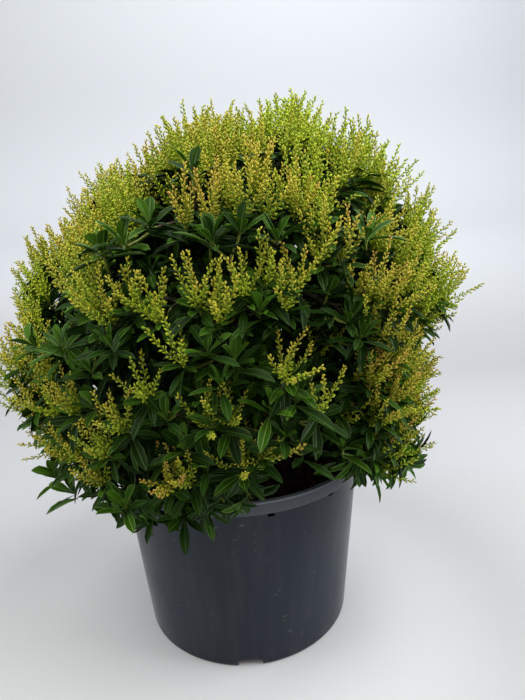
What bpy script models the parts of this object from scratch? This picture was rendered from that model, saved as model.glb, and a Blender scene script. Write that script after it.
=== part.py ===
"""Pieris shrub in bud, standing in its round nursery pot: pot, soil, a short trunk, one bough to each
mass of foliage, and the masses, each fused from a small core, twigs, leaves and bud sprays.
Metres, +Z up. The origin is the middle of the pot's flat underside, and the front faces -Y."""

import math

import bmesh
import bpy
import numpy as np

SEED = 11
GAP = 0.0003  # clearance between pieces that meet
WELD = 0.00001

# Pot
POT_HEIGHT = 0.256
FOOT_RADIUS = 0.1495
WALL_TOP_RADIUS = 0.1725
RIM_RADIUS = 0.1775
RIM_BAND = 0.0165
GROOVE_HEIGHT = 0.002
GROOVE_DEPTH = 0.0012
WALL = 0.003
FLOOR = 0.004
LIP_ROUND = 0.0012
FOOT_ROUND = 0.004
FOOT_STEPS = 3
POT_SIDES = 48
NOTCHES = 4
FIRST_NOTCH = math.radians(-91.6)
NOTCH_SIZE = (0.018, 0.033, 0.014)  # depth into the pot, width, height
BELOW_FOOT = 0.001  # how far a notch's cutter passes below the pot
SLOTS = 12
FIRST_SLOT = math.radians(-49.0)
SLOT_SIZE = (0.012, 0.0085, 0.0045)
SLOT_DROP = 0.0015  # below the groove

# Soil
SOIL_TOP = 0.226
SOIL_CHAMFER = 0.020  # the soil stands back from the notches at the foot

# Trunk
TRUNK_SIDES = 16
TRUNK_STEPS = 6
TRUNK_TOP = 0.330
TRUNK_FOOT_RADIUS = 0.027
TRUNK_RADIUS = 0.0145
TRUNK_TIP_RADIUS = 0.0115
FLARE_HEIGHT = 0.012
TRUNK_LEAN = (0.006, -0.004)

# Boughs
BOUGH_SIDES = 6
BOUGH_STEPS = 5
BOUGH_ROOT_RADIUS = 0.0046
BOUGH_TIP_RADIUS = 0.0036
BOUGH_END = 0.125  # from the crown's centre
BOUGH_LIFT = 0.4
LAST_BEND = 0.40

# Crown, as distances from its centre
CROWN_CENTRE = np.array((0.0, 0.0, 0.455))
SIDE_REACH = 0.305
TOP_REACH = 0.272
SKIRT_REACH = 0.325
SKIRT_ELEVATION = math.radians(35)
# Swellings and hollows of the crown: azimuth, elevation and width in degrees, and gain as a share.
SWELLINGS = (
    (-22, 41, 22, 0.10),
    (-27, -12, 13, -0.07),
    (-50, -55, 15, -0.24),
    (-138, -36, 20, 0.06),
    (-28, -34, 14, 0.03),
    (-166, 50, 24, -0.18),
    (-161, 14, 16, -0.09),
    (100, 35, 24, 0.05),
    (60, 5, 22, -0.04),
    (140, -10, 20, 0.03),
)
# Rings of masses: name, elevation, how many, azimuth of the first, height of their boughs on the trunk,
# the elevation at which the boughs end, seen from the crown's centre, and how far they run level at first.
TIERS = (
    ("skirt", -24, 7, -41, 0.244, -44, 0.42),
    ("middle", 15, 6, -24, 0.270, 6, 0.17),
    ("upper", 50, 5, -30, 0.298, 46, 0.07),
    ("top", 90, 1, 0, TRUNK_TOP, 90, 0),
)
DOME = 0.03  # how far a mass falls away towards its edge
DOME_ANGLE = math.radians(28)
DOME_LIMIT = 1.3  # it falls away no further than at this many times the dome's angle
AXIS_JITTER = (4, 3)  # degrees of azimuth and elevation

# Space that each mass keeps to
CELL_CLEARANCE = 0.0006
LIMB_CLEARANCE = 0.0015
POT_CLEARANCE = 0.006
LOWEST_LEAF = 0.176

# Shoots
SHOOTS = 100  # over a whole sphere
LOWEST_SHOOT = math.radians(-54)
PULL_TO_AXIS = 0.16
TWIG_SIDES = 3
TWIG_RADIUS = 0.0019
BUD_RADIUS = 0.0044
BUD_LENGTH = 0.008
BUD_TIP_RADIUS = 0.0006
TWIG_BOW = 0.12
TWIG_TESTS = 8  # points along each half of a twig that are tested against the space
ROOT_OFFSET = 0.0012  # roots of leaves and sprays stand this far round the bud's middle
FORK_SHARE = 0.42
STEM_TAPER = 0.85
STEM_OVERRUN = 0.6  # how far a stem runs on past its fork, as a share of its radius
LIFT = 0.55  # how far a shoot turns up from straight out of the crown
LOW_LIFT = 0.1
LOW_RISE = -0.5  # shoots that point lower than this hang and bear no sprays
SCATTER = 0.055
LEAF_SHARE = 0.7  # how much of its leaves or its spray a shoot holds within the crown's outline
SPRAY_SHARE = 0.85
LEAVES = 4
LEAF_LENGTH = 0.070
LEAF_WIDTH = 0.025
LEAF_THICKNESS = 0.0011  # above and below the blade's middle plane
LEAF_WIDEST = 0.52  # shares of the leaf's length
LEAF_THICKEST = 0.38
LEAF_SPREAD = math.radians(58)
LEAF_ARCH = 0.10
LEAF_SIZES = (1.0, 0.8, 0.62)  # tried in turn until the leaf keeps to its space
LEAF_LENGTHS = (0.92, 1.08)
LEAF_JITTER = 0.2  # radians of turn and of spread
LEAF_TESTS = 12  # points along a leaf that are tested, less the two next to its root
DROOP = 0.05
LOW_DROOP = 0.35
SIDE_SPRAYS = 1
SPRAY_LENGTH = 0.068
SPRAY_RADIUS = 0.0080
SPRAY_WAIST = 0.42  # where it is thickest, as a share of its length
SPRAY_SPREAD = math.radians(30)
SPRAY_SIDES = 3
SPRAY_LENGTHS = (0.9, 1.1)  # shares of the length above, for the spray that ends a twig
SIDE_SPRAY_LENGTHS = (0.8, 1.1)
SIDE_SPRAY_SPREADS = (0.6, 1.3)
SIDE_SPRAY_JITTER = 0.3
SPRAY_TESTS = 10

# Core inside each mass
CORE_MIDDLE = 0.62
CORE_LIMIT = 0.78
CORE_RADIUS = 0.110
CORE_STEP = 0.003
CORE_MARGIN = 0.005

# Colour and roughness
POT_FINISH = ((0.047, 0.056, 0.070), 0.42)
SOIL_FINISH = ((0.030, 0.017, 0.011), 0.95)
TRUNK_FINISH = ((0.130, 0.086, 0.054), 0.90)
BOUGH_FINISH = ((0.130, 0.086, 0.054), 0.85)
FOLIAGE_FINISH = ((0.150, 0.220, 0.030), 0.60)
SHARP_ANGLE = math.radians(35)  # edges sharper than this stay crisp

GOLDEN_ANGLE = math.pi * (3 - math.sqrt(5))
UP = np.array((0.0, 0.0, 1.0))


def unit(vector):
    return vector / np.linalg.norm(vector)


def direction_of(azimuth, elevation):
    flat = math.cos(elevation)
    return np.array((flat * math.cos(azimuth), flat * math.sin(azimuth), math.sin(elevation)))


def square_to(axis):
    """Two unit vectors square to the axis and to each other."""
    helper = UP if abs(axis[2]) < 0.9 else np.array((1.0, 0.0, 0.0))
    side = unit(np.cross(helper, axis))
    return side, np.cross(axis, side)


def finish(name, colour, roughness):
    material = bpy.data.materials.new(name)
    material.use_nodes = True
    shader = material.node_tree.nodes["Principled BSDF"]
    shader.inputs["Base Color"].default_value = (*colour, 1)
    shader.inputs["Roughness"].default_value = roughness
    shader.inputs["Metallic"].default_value = 0
    return material


def add_object(name, mesh, material=None, collection=None):
    thing = bpy.data.objects.new(name, mesh)
    (collection or bpy.context.scene.collection).objects.link(thing)
    if material:
        mesh.materials.append(material)
    return thing


def mesh_of(name, points, faces):
    mesh = bpy.data.meshes.new(name)
    mesh.from_pydata([tuple(point) for point in points], [], faces)
    mesh.update()
    return mesh


def turned(name, profile):
    """A closed solid turned round Z from a profile of (radius, height), its two ends filled flat."""
    form = bmesh.new()
    corners = [form.verts.new((radius, 0, height)) for radius, height in profile]
    edges = [form.edges.new(pair) for pair in zip(corners, corners[1:])]
    bmesh.ops.spin(
        form, geom=corners + edges, cent=(0, 0, 0), axis=(0, 0, 1), angle=math.tau, steps=POT_SIDES
    )
    bmesh.ops.remove_doubles(form, verts=form.verts, dist=WELD)
    bmesh.ops.holes_fill(form, edges=form.edges, sides=0)
    bmesh.ops.recalc_face_normals(form, faces=form.faces)
    mesh = bpy.data.meshes.new(name)
    form.to_mesh(mesh)
    form.free()
    return mesh


def shade_round(thing):
    thing.data.shade_smooth()
    thing.data.set_sharp_from_angle(angle=SHARP_ANGLE)


def wall_radius(height):
    """Outer radius of the pot's tapering wall."""
    return FOOT_RADIUS + (WALL_TOP_RADIUS - FOOT_RADIUS) * height / POT_HEIGHT


def cutters_round(name, count, first, radius, height, size):
    """Boxes set round the pot, square to its wall."""
    group = bpy.data.collections.new(name)
    bpy.context.scene.collection.children.link(group)
    for step in range(count):
        form = bmesh.new()
        bmesh.ops.create_cube(form, size=1)
        bmesh.ops.scale(form, vec=size, verts=form.verts)
        mesh = bpy.data.meshes.new(name)
        form.to_mesh(mesh)
        form.free()
        cutter = add_object(f"{name}_{step + 1}", mesh, collection=group)
        azimuth = first + step * math.tau / count
        cutter.location = (radius * math.cos(azimuth), radius * math.sin(azimuth), height)
        cutter.rotation_euler = (0, 0, azimuth)
        cutter.hide_render = True
        cutter.display_type = "WIRE"
    return group


def make_pot():
    band_foot = POT_HEIGHT - RIM_BAND
    groove_foot = band_foot - GROOVE_HEIGHT
    inner_radius = wall_radius(POT_HEIGHT) - WALL
    profile = [
        (wall_radius(FLOOR) - WALL, FLOOR),
        (inner_radius, POT_HEIGHT - LIP_ROUND),
        (inner_radius + LIP_ROUND, POT_HEIGHT),
        (RIM_RADIUS - LIP_ROUND, POT_HEIGHT),
        (RIM_RADIUS, POT_HEIGHT - LIP_ROUND),
        (RIM_RADIUS, band_foot + LIP_ROUND),
        (RIM_RADIUS - LIP_ROUND, band_foot),
        (wall_radius(band_foot) - GROOVE_DEPTH, band_foot),
        (wall_radius(groove_foot) - GROOVE_DEPTH, groove_foot),
        (wall_radius(groove_foot), groove_foot - GROOVE_DEPTH),
    ]
    for step in range(FOOT_STEPS + 1):
        turn = step / FOOT_STEPS * math.pi / 2
        inset = FOOT_ROUND * (1 - math.cos(turn))
        height = FOOT_ROUND * (1 - math.sin(turn))
        profile.append((wall_radius(height) - inset, height))
    pot = add_object("pot", turned("pot", profile), finish("pot_plastic", *POT_FINISH))
    notch_height = NOTCH_SIZE[2] / 2 - BELOW_FOOT
    slot_height = groove_foot - SLOT_DROP - SLOT_SIZE[2] / 2
    for name, count, first, radius, height, size in (
        ("drain_notch", NOTCHES, FIRST_NOTCH, FOOT_RADIUS - FOOT_ROUND, notch_height, NOTCH_SIZE),
        ("lift_slot", SLOTS, FIRST_SLOT, wall_radius(slot_height) - WALL / 2, slot_height, SLOT_SIZE),
    ):
        cut = pot.modifiers.new(name, "BOOLEAN")
        cut.operation = "DIFFERENCE"
        cut.operand_type = "COLLECTION"
        cut.collection = cutters_round(name, count, first, radius, height, size)
    shade_round(pot)


def make_soil():
    foot = FLOOR + GAP
    inset = WALL + GAP
    profile = [
        (wall_radius(SOIL_TOP) - inset, SOIL_TOP),
        (wall_radius(foot + SOIL_CHAMFER) - inset, foot + SOIL_CHAMFER),
        (wall_radius(foot) - inset - SOIL_CHAMFER, foot),
    ]
    soil = add_object("soil", turned("soil", profile), finish("bark_soil", *SOIL_FINISH))
    shade_round(soil)


def tube(name, centres, radii, sides, first_normal=None, last_normal=None):
    """A closed tube of flat rings, square to the path of its centres or, at an end, to a given normal."""
    centres = np.asarray(centres)
    normals = [unit(step) for step in np.gradient(centres, axis=0)]
    if first_normal is not None:
        normals[0] = first_normal
    if last_normal is not None:
        normals[-1] = last_normal
    side, other = square_to(normals[0])
    points = []
    for centre, normal, radius in zip(centres, normals, radii):
        side = unit(side - normal * (side @ normal))
        other = np.cross(normal, side)
        for turn in np.arange(sides) * math.tau / sides:
            points.append(centre + radius * (math.cos(turn) * side + math.sin(turn) * other))
    faces = [tuple(reversed(range(sides)))]
    for ring in range(len(centres) - 1):
        for corner in range(sides):
            after = (corner + 1) % sides
            low = ring * sides
            faces.append((low + corner, low + after, low + sides + after, low + sides + corner))
    last = (len(centres) - 1) * sides
    faces.append(tuple(range(last, last + sides)))
    return mesh_of(name, points, faces)


def trunk_centre(height):
    share = (height - SOIL_TOP) / (TRUNK_TOP - SOIL_TOP)
    return np.array((TRUNK_LEAN[0] * share, TRUNK_LEAN[1] * share, height))


def trunk_heights():
    """Heights of the trunk's rings, closer together where its foot flares."""
    foot = SOIL_TOP + GAP
    return [foot + (TRUNK_TOP - foot) * step**2 / TRUNK_STEPS**2 for step in range(TRUNK_STEPS + 1)]


def trunk_radius(height):
    """Taper from the soil to the tip, with a flare that dies away above the soil."""
    rise = height - SOIL_TOP
    taper = TRUNK_RADIUS + (TRUNK_TIP_RADIUS - TRUNK_RADIUS) * rise / (TRUNK_TOP - SOIL_TOP)
    return taper + (TRUNK_FOOT_RADIUS - TRUNK_RADIUS) * math.exp(-rise / FLARE_HEIGHT)


def trunk_surface(height):
    """Radius of the faceted trunk, straight between its rings."""
    return np.interp(height, trunk_heights(), [trunk_radius(ring) for ring in trunk_heights()])


def make_trunk():
    centres = [trunk_centre(height) for height in trunk_heights()]
    radii = [trunk_radius(height) for height in trunk_heights()]
    mesh = tube("trunk", centres, radii, TRUNK_SIDES, UP, UP)
    trunk = add_object("trunk", mesh, finish("trunk_bark", *TRUNK_FINISH))
    shade_round(trunk)
    return np.array(centres), np.array(radii)


def plan_masses():
    """Each mass has a name, an axis out of the crown's centre, and where its bough starts and ends."""
    chance = np.random.default_rng(SEED)
    turn_jitter, tilt_jitter = AXIS_JITTER
    masses = []
    for tier, elevation, count, first, height, bough_rise, first_bend in TIERS:
        for step in range(count):
            turn = first + step * 360 / count + chance.uniform(-turn_jitter, turn_jitter)
            tilt = min(90, elevation + chance.uniform(-tilt_jitter, tilt_jitter))
            name = tier if count == 1 else f"{tier}_{step + 1}"
            axis = direction_of(math.radians(turn), math.radians(tilt))
            mass = {"name": name, "axis": axis, "height": height}
            mass["bough_rise"] = math.radians(bough_rise)
            mass["first_bend"] = first_bend
            masses.append(mass)
    return masses


def bough_path(mass):
    """Centres of a bough's rings: out of the trunk level, then up, then over towards its mass."""
    if mass["height"] == TRUNK_TOP:
        first_normal = heading = UP
        start = trunk_centre(TRUNK_TOP) + UP * GAP
        end = CROWN_CENTRE + UP * BOUGH_END
    else:
        first_normal = unit(mass["axis"] * (1, 1, 0))
        heading = unit(mass["axis"] + BOUGH_LIFT * UP)
        low = mass["height"] - BOUGH_ROOT_RADIUS
        start = trunk_centre(low) + first_normal * (trunk_surface(low) + GAP) + UP * BOUGH_ROOT_RADIUS
        rise = mass["bough_rise"]
        end = CROWN_CENTRE + (first_normal * math.cos(rise) + UP * math.sin(rise)) * BOUGH_END
    length = np.linalg.norm(end - start)
    first_bend = start + first_normal * mass["first_bend"] * length
    last_bend = end - heading * LAST_BEND * length
    after = np.linspace(0, 1, BOUGH_STEPS + 1)[:, None]
    before = 1 - after
    centres = before**3 * start + after**3 * end
    centres += 3 * before * after * (before * first_bend + after * last_bend)
    return centres, first_normal, heading


def make_boughs(masses):
    bark = finish("bough_bark", *BOUGH_FINISH)
    limbs = []
    for mass in masses:
        centres, first_normal, heading = bough_path(mass)
        radii = np.linspace(BOUGH_ROOT_RADIUS, BOUGH_TIP_RADIUS, len(centres))
        name = f"bough_{mass['name']}"
        bough = add_object(name, tube(name, centres, radii, BOUGH_SIDES, first_normal, heading), bark)
        shade_round(bough)
        mass["root"] = centres[-1] + heading * GAP
        mass["heading"] = heading
        limbs.append((centres, radii))
    return limbs


def crown_reach(direction):
    """Distance from the crown's centre to its outline in this direction."""
    rise = direction[2]
    if rise > 0:
        reach = SIDE_REACH + (TOP_REACH - SIDE_REACH) * rise**2
    else:
        reach = SIDE_REACH + (SKIRT_REACH - SIDE_REACH) * (rise / math.sin(SKIRT_ELEVATION)) ** 2
    gain = 0
    for azimuth, elevation, width, share in SWELLINGS:
        towards = direction_of(math.radians(azimuth), math.radians(elevation))
        angle = math.degrees(math.acos(np.clip(direction @ towards, -1, 1)))
        gain += share * math.exp(-((angle / width) ** 2))
    return reach * (1 + gain)


def mass_reach(mass, direction):
    """The crown's outline, fallen away towards the mass's edge."""
    angle = math.acos(np.clip(direction @ mass["axis"], -1, 1))
    return crown_reach(direction) * (1 - DOME * min(DOME_LIMIT, angle / DOME_ANGLE) ** 2)


def plan_cells(masses):
    """The planes that part each mass from the others, through the crown's centre."""
    for mass in masses:
        others = [other["axis"] for other in masses if other is not mass]
        mass["planes"] = np.array([unit(mass["axis"] - other) for other in others])


def distance_to_limbs(points, limbs):
    """Smallest distance from any of the points to the surface of any limb."""
    nearest = math.inf
    for centres, radii in limbs:
        starts, ends = centres[:-1], centres[1:]
        along = ends - starts
        shares = ((points[:, None] - starts) * along).sum(2) / (along**2).sum(1)
        shares = np.clip(shares, 0, 1)
        feet = starts + shares[..., None] * along
        thick = radii[:-1] + shares * (radii[1:] - radii[:-1])
        nearest = min(nearest, (np.linalg.norm(points[:, None] - feet, axis=2) - thick).min())
    return nearest


def in_space(points, mass, margin=0, limbs="limbs"):
    """Whether a piece keeps to its mass's space, off the pot and off every limb."""
    inside = ((points - CROWN_CENTRE) @ mass["planes"].T).min()
    if inside < CELL_CLEARANCE + margin:
        return False
    out = np.hypot(points[:, 0], points[:, 1])
    clear_of_pot = RIM_RADIUS + POT_CLEARANCE
    over_pot = (out < clear_of_pot) & (points[:, 2] < POT_HEIGHT + POT_CLEARANCE)
    if over_pot.any() or points[:, 2].min() < LOWEST_LEAF:
        return False
    return distance_to_limbs(points, mass[limbs]) > LIMB_CLEARANCE + margin


def plan_shoots(masses):
    """Shoot tips spread evenly over the crown, each given to the mass whose axis is nearest."""
    chance = np.random.default_rng(SEED + 1)
    for mass in masses:
        mass["shoots"] = []
    for number in range(SHOOTS):
        elevation = math.asin(1 - (2 * number + 1) / SHOOTS) + chance.uniform(-SCATTER, SCATTER)
        if elevation < LOWEST_SHOOT:
            continue
        direction = direction_of(number * GOLDEN_ANGLE + chance.uniform(-SCATTER, SCATTER), elevation)
        mass = max(masses, key=lambda each: direction @ each["axis"])
        direction = unit(direction + PULL_TO_AXIS * mass["axis"])
        low = direction[2] < LOW_RISE
        heading = unit(direction + np.interp(direction[2], (LOW_RISE, 0), (LOW_LIFT, LIFT)) * UP)
        back = (LEAF_SHARE * LEAF_LENGTH if low else SPRAY_SHARE * SPRAY_LENGTH) * (heading @ direction)
        tip = CROWN_CENTRE + direction * (mass_reach(mass, direction) - back)
        if not in_space(tip[None], mass, 2 * BUD_RADIUS):
            continue
        spray = 0 if low else SPRAY_LENGTH * chance.uniform(*SPRAY_LENGTHS)
        along = tip + np.linspace(0, spray, SPRAY_TESTS)[:, None] * heading
        if not in_space(along, mass, SPRAY_RADIUS):
            spray = 0
        mass["shoots"].append({"tip": tip, "heading": heading, "low": low, "spray": spray})


def fork(start, shoots, mass, pieces, bough_heading=None):
    """Twigs from one point to these shoots: a stem towards their middle, which forks between two halves.
    The first faces its bough's flat end, and each of the others is sunk in the twig that it grows from.
    A last twig that would leave the mass's space is left out with its shoot."""
    sunk = TWIG_RADIUS if bough_heading is None else 0
    if len(shoots) == 1:
        shoot = shoots[0]
        tip, heading, spray = shoot["tip"], shoot["heading"], shoot["spray"]
        foot = start - unit(tip - start) * sunk
        bow = UP if shoot["low"] else -heading
        elbow = (start + tip) / 2 + bow * TWIG_BOW * np.linalg.norm(tip - start)
        shares = np.linspace(0, 1, TWIG_TESTS)[:, None]
        along = np.vstack([start + shares * (elbow - start), elbow + shares * (tip - elbow)])
        shoot["grown"] = in_space(along, mass, TWIG_RADIUS, "other_limbs")
        if not shoot["grown"]:
            return
        centres = [foot, elbow, tip, tip + heading * BUD_LENGTH]
        radii = [TWIG_RADIUS, TWIG_RADIUS, BUD_RADIUS, BUD_TIP_RADIUS]
        if spray:
            centres += [tip + heading * SPRAY_WAIST * spray, tip + heading * spray]
            radii[-1:] = [TWIG_RADIUS, SPRAY_RADIUS, BUD_TIP_RADIUS]
        pieces.append(tube("twig", centres, radii, TWIG_SIDES, bough_heading))
        return
    tips = np.array([shoot["tip"] for shoot in shoots])
    middle = tips.mean(axis=0)
    split = start + FORK_SHARE * (middle - start)
    thick = min(BOUGH_TIP_RADIUS, TWIG_RADIUS * math.sqrt(len(shoots)))
    ahead = unit(split - start)
    centres = (start - ahead * sunk, split + ahead * STEM_OVERRUN * thick)
    pieces.append(tube("twig", centres, (thick, STEM_TAPER * thick), TWIG_SIDES, bough_heading))
    spread = np.linalg.svd(tips - middle)[2][0]
    order = np.argsort((tips - middle) @ spread)
    half = len(shoots) // 2
    fork(split, [shoots[index] for index in order[:half]], mass, pieces)
    fork(split, [shoots[index] for index in order[half:]], mass, pieces)


def leaf_points(root, heading, face, length):
    """Corners of a thin pointed blade that arches down: root, tip, two edges, top and underside."""
    side = np.cross(heading, face)
    width = LEAF_WIDTH * length / LEAF_LENGTH
    arch = LEAF_ARCH * length
    widest = root + heading * LEAF_WIDEST * length + face * arch
    thickest = root + heading * LEAF_THICKEST * length + face * arch
    return np.array(
        (
            root,
            root + heading * length - face * arch,
            widest + side * width / 2,
            widest - side * width / 2,
            thickest + face * LEAF_THICKNESS,
            thickest - face * LEAF_THICKNESS,
        )
    )


LEAF_FACES = (
    (0, 2, 4),
    (0, 4, 3),
    (0, 5, 2),
    (0, 3, 5),
    (1, 4, 2),
    (1, 3, 4),
    (1, 2, 5),
    (1, 5, 3),
)
SPRAY_FACES = ((0, 2, 1), (0, 3, 2), (0, 1, 3), (4, 1, 2), (4, 2, 3), (4, 3, 1))


def leaves_round(shoot, mass, chance, pieces):
    """A whorl of leaves at the shoot's bud. A leaf that would leave the space is shortened, or left out."""
    heading, tip = shoot["heading"], shoot["tip"]
    side, other = square_to(heading)
    first = chance.uniform(0, math.tau)
    for step in range(LEAVES):
        turn = first + step * math.tau / LEAVES + chance.uniform(-LEAF_JITTER, LEAF_JITTER)
        out = math.cos(turn) * side + math.sin(turn) * other
        spread = LEAF_SPREAD + chance.uniform(-LEAF_JITTER, LEAF_JITTER)
        droop = LOW_DROOP if shoot["low"] else DROOP
        lean = unit(heading * math.cos(spread) + out * math.sin(spread) - UP * droop)
        face = unit(heading - lean * (lean @ heading))
        for size in LEAF_SIZES:
            length = LEAF_LENGTH * size * chance.uniform(*LEAF_LENGTHS)
            points = leaf_points(tip + out * ROOT_OFFSET, lean, face, length)
            along = np.linspace(points[0], points[1], LEAF_TESTS)[2:]
            if in_space(points[1:], mass) and in_space(along, mass, LEAF_WIDTH / 4):
                pieces.append(mesh_of("leaf", points, LEAF_FACES))
                break


def sprays_on(shoot, mass, chance, pieces):
    """Bud sprays beside the one that the twig ends in, slim spindles that stand out of the shoot's bud."""
    heading, tip = shoot["heading"], shoot["tip"]
    side, other = square_to(heading)
    first = chance.uniform(0, math.tau)
    for step in range(SIDE_SPRAYS):
        turn = first + step * math.tau / SIDE_SPRAYS
        turn += chance.uniform(-SIDE_SPRAY_JITTER, SIDE_SPRAY_JITTER)
        spread = SPRAY_SPREAD * chance.uniform(*SIDE_SPRAY_SPREADS)
        out = math.cos(turn) * side + math.sin(turn) * other
        lean = heading * math.cos(spread) + out * math.sin(spread)
        length = SPRAY_LENGTH * chance.uniform(*SIDE_SPRAY_LENGTHS)
        across, upright = square_to(lean)
        waist = tip + lean * SPRAY_WAIST * length
        ring = [
            waist + SPRAY_RADIUS * (math.cos(angle) * across + math.sin(angle) * upright)
            for angle in np.arange(SPRAY_SIDES) * math.tau / SPRAY_SIDES
        ]
        points = np.array([tip + out * ROOT_OFFSET, *ring, tip + lean * length])
        if in_space(points[1:], mass):
            pieces.append(mesh_of("spray", points, SPRAY_FACES))


def core_of(mass):
    """A rough ball inside the mass, grown outwards along each of its spokes until the space ends."""
    axis = mass["axis"]
    middle = CROWN_CENTRE + axis * CORE_MIDDLE * crown_reach(axis)
    form = bmesh.new()
    bmesh.ops.create_icosphere(form, subdivisions=1, radius=1)
    for corner in form.verts:
        spoke = np.array(corner.co)
        length = CORE_STEP
        while length < CORE_RADIUS:
            point = middle + spoke * (length + CORE_STEP)
            out = point - CROWN_CENTRE
            too_far = np.linalg.norm(out) > CORE_LIMIT * crown_reach(unit(out))
            behind_stem = (point - mass["root"]) @ mass["heading"] < CORE_MARGIN
            if too_far or behind_stem or not in_space(point[None], mass, CORE_MARGIN):
                break
            length += CORE_STEP
        corner.co = middle + spoke * length
    mesh = bpy.data.meshes.new("core")
    form.to_mesh(mesh)
    form.free()
    return mesh


def shells_of(form):
    """The mesh's connected shells, as lists of faces."""
    left = set(form.faces)
    shells = []
    while left:
        shell = [left.pop()]
        for face in shell:
            near = {other for edge in face.edges for other in edge.link_faces} & left
            left -= near
            shell.extend(near)
        shells.append(shell)
    return shells


def signed_volume(shell):
    total = 0
    for face in shell:
        first = face.verts[0].co
        for one, two in zip(face.verts[1:], face.verts[2:]):
            total += first.dot(one.co.cross(two.co)) / 6
    return total


def fused(name, pieces, material):
    """One solid from overlapping closed pieces. Loose scraps and sealed hollows are dropped."""
    group = bpy.data.collections.new(f"{name}_pieces")
    bpy.context.scene.collection.children.link(group)
    base = add_object(name, pieces[0])
    for number, mesh in enumerate(pieces[1:]):
        add_object(f"{name}_piece_{number}", mesh, collection=group)
    union = base.modifiers.new("union", "BOOLEAN")
    union.operation = "UNION"
    union.solver = "MANIFOLD"
    union.operand_type = "COLLECTION"
    union.collection = group
    graph = bpy.context.evaluated_depsgraph_get()
    whole = bpy.data.meshes.new_from_object(base.evaluated_get(graph), depsgraph=graph)
    for thing in [base, *group.objects]:
        bpy.data.objects.remove(thing)
    bpy.data.collections.remove(group)
    for mesh in pieces:
        bpy.data.meshes.remove(mesh)
    form = bmesh.new()
    form.from_mesh(whole)
    shells = shells_of(form)
    largest = max(shells, key=signed_volume)
    for shell in shells:
        if shell is not largest:
            bmesh.ops.delete(form, geom=shell, context="FACES")
    form.to_mesh(whole)
    form.free()
    whole.name = name
    return add_object(name, whole, material)


def make_masses(masses):
    foliage = finish("foliage", *FOLIAGE_FINISH)
    for number, mass in enumerate(masses):
        chance = np.random.default_rng(SEED + 100 + number)
        pieces = [core_of(mass)]
        fork(mass["root"], mass["shoots"], mass, pieces, mass["heading"])
        for shoot in mass["shoots"]:
            if shoot["grown"]:
                leaves_round(shoot, mass, chance, pieces)
                sprays_on(shoot, mass, chance, pieces)
        fused(f"foliage_{mass['name']}", pieces, foliage)


def main():
    for thing in list(bpy.data.objects):
        bpy.data.objects.remove(thing, do_unlink=True)
    make_pot()
    make_soil()
    trunk = make_trunk()
    masses = plan_masses()
    boughs = make_boughs(masses)
    for mass, own in zip(masses, boughs):
        mass["limbs"] = [trunk, *boughs]
        mass["other_limbs"] = [trunk, *(bough for bough in boughs if bough is not own)]
    plan_cells(masses)
    plan_shoots(masses)
    make_masses(masses)


main()
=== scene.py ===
import math

import bmesh
import bpy
import numpy as np
from mathutils import Matrix, Vector, noise


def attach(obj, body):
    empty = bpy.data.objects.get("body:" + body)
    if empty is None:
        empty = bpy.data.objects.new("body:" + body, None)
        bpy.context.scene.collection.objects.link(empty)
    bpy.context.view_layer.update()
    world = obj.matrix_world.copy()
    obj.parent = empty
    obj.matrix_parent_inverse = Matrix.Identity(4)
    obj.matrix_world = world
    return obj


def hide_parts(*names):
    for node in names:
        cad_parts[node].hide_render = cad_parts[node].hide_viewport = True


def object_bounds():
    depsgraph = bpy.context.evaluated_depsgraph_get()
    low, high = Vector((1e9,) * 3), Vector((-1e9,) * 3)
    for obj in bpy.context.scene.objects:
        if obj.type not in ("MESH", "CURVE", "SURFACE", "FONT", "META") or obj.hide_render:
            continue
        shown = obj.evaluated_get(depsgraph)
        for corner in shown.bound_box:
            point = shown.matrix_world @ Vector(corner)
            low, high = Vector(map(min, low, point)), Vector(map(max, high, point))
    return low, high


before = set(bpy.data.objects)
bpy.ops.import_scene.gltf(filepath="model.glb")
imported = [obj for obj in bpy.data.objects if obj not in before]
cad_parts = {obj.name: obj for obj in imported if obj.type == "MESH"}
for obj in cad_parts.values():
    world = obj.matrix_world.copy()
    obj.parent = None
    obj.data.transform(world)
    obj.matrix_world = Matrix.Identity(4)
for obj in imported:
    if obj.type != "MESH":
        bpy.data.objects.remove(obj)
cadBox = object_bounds()
print("frame loaded:", len(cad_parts), "nodes")

upward = np.array((0.0, 0.0, 1.0))
goldenAngle = math.pi * (3 - math.sqrt(5))
millimetre = 0.001


# directions
def unit(vectors):
    return vectors / np.linalg.norm(vectors, axis=-1, keepdims=True)


def directionOf(azimuth, elevation):  # degrees, one pair or arrays of them
    turn, rise = np.radians(azimuth), np.radians(elevation)
    flat = np.cos(rise)
    return np.stack((flat * np.cos(turn), flat * np.sin(turn), np.sin(rise)), axis=-1)


def squareTo(axes):  # two unit vectors square to each axis and to each other
    helper = np.where(np.abs(axes[..., 2:]) < 0.9, upward, (1.0, 0.0, 0.0))
    side = unit(np.cross(helper, axes))
    return side, np.cross(axes, side)


def blended(low, high, share):
    return low + (high - low) * share


def around(turn, side, other):  # the direction at this angle about the axis that both are square to
    return np.cos(turn) * side + np.sin(turn) * other


def squared(vector, axis):  # the part of a vector that is square to an axis, made a unit long
    return unit(vector - axis * (axis @ vector))


def anglesTo(directions, axes):  # degrees
    return np.degrees(np.arccos(np.clip(directions @ axes, -1, 1)))


def patchSum(directions, patches):
    # the sum of the patches' amounts, each fading away from its place by a bell curve
    azimuths, elevations, widths, amounts = np.array(patches).T
    angles = anglesTo(directions, directionOf(azimuths, elevations).T)
    return (amounts * np.exp(-((angles / widths) ** 2))).sum(axis=-1)


def bezier(start, firstBend, lastBend, end, rings):
    after = np.linspace(0, 1, rings)[:, None]
    before = 1 - after
    path = before**3 * start + after**3 * end
    return path + 3 * before * after * (before * firstBend + after * lastBend)


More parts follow.
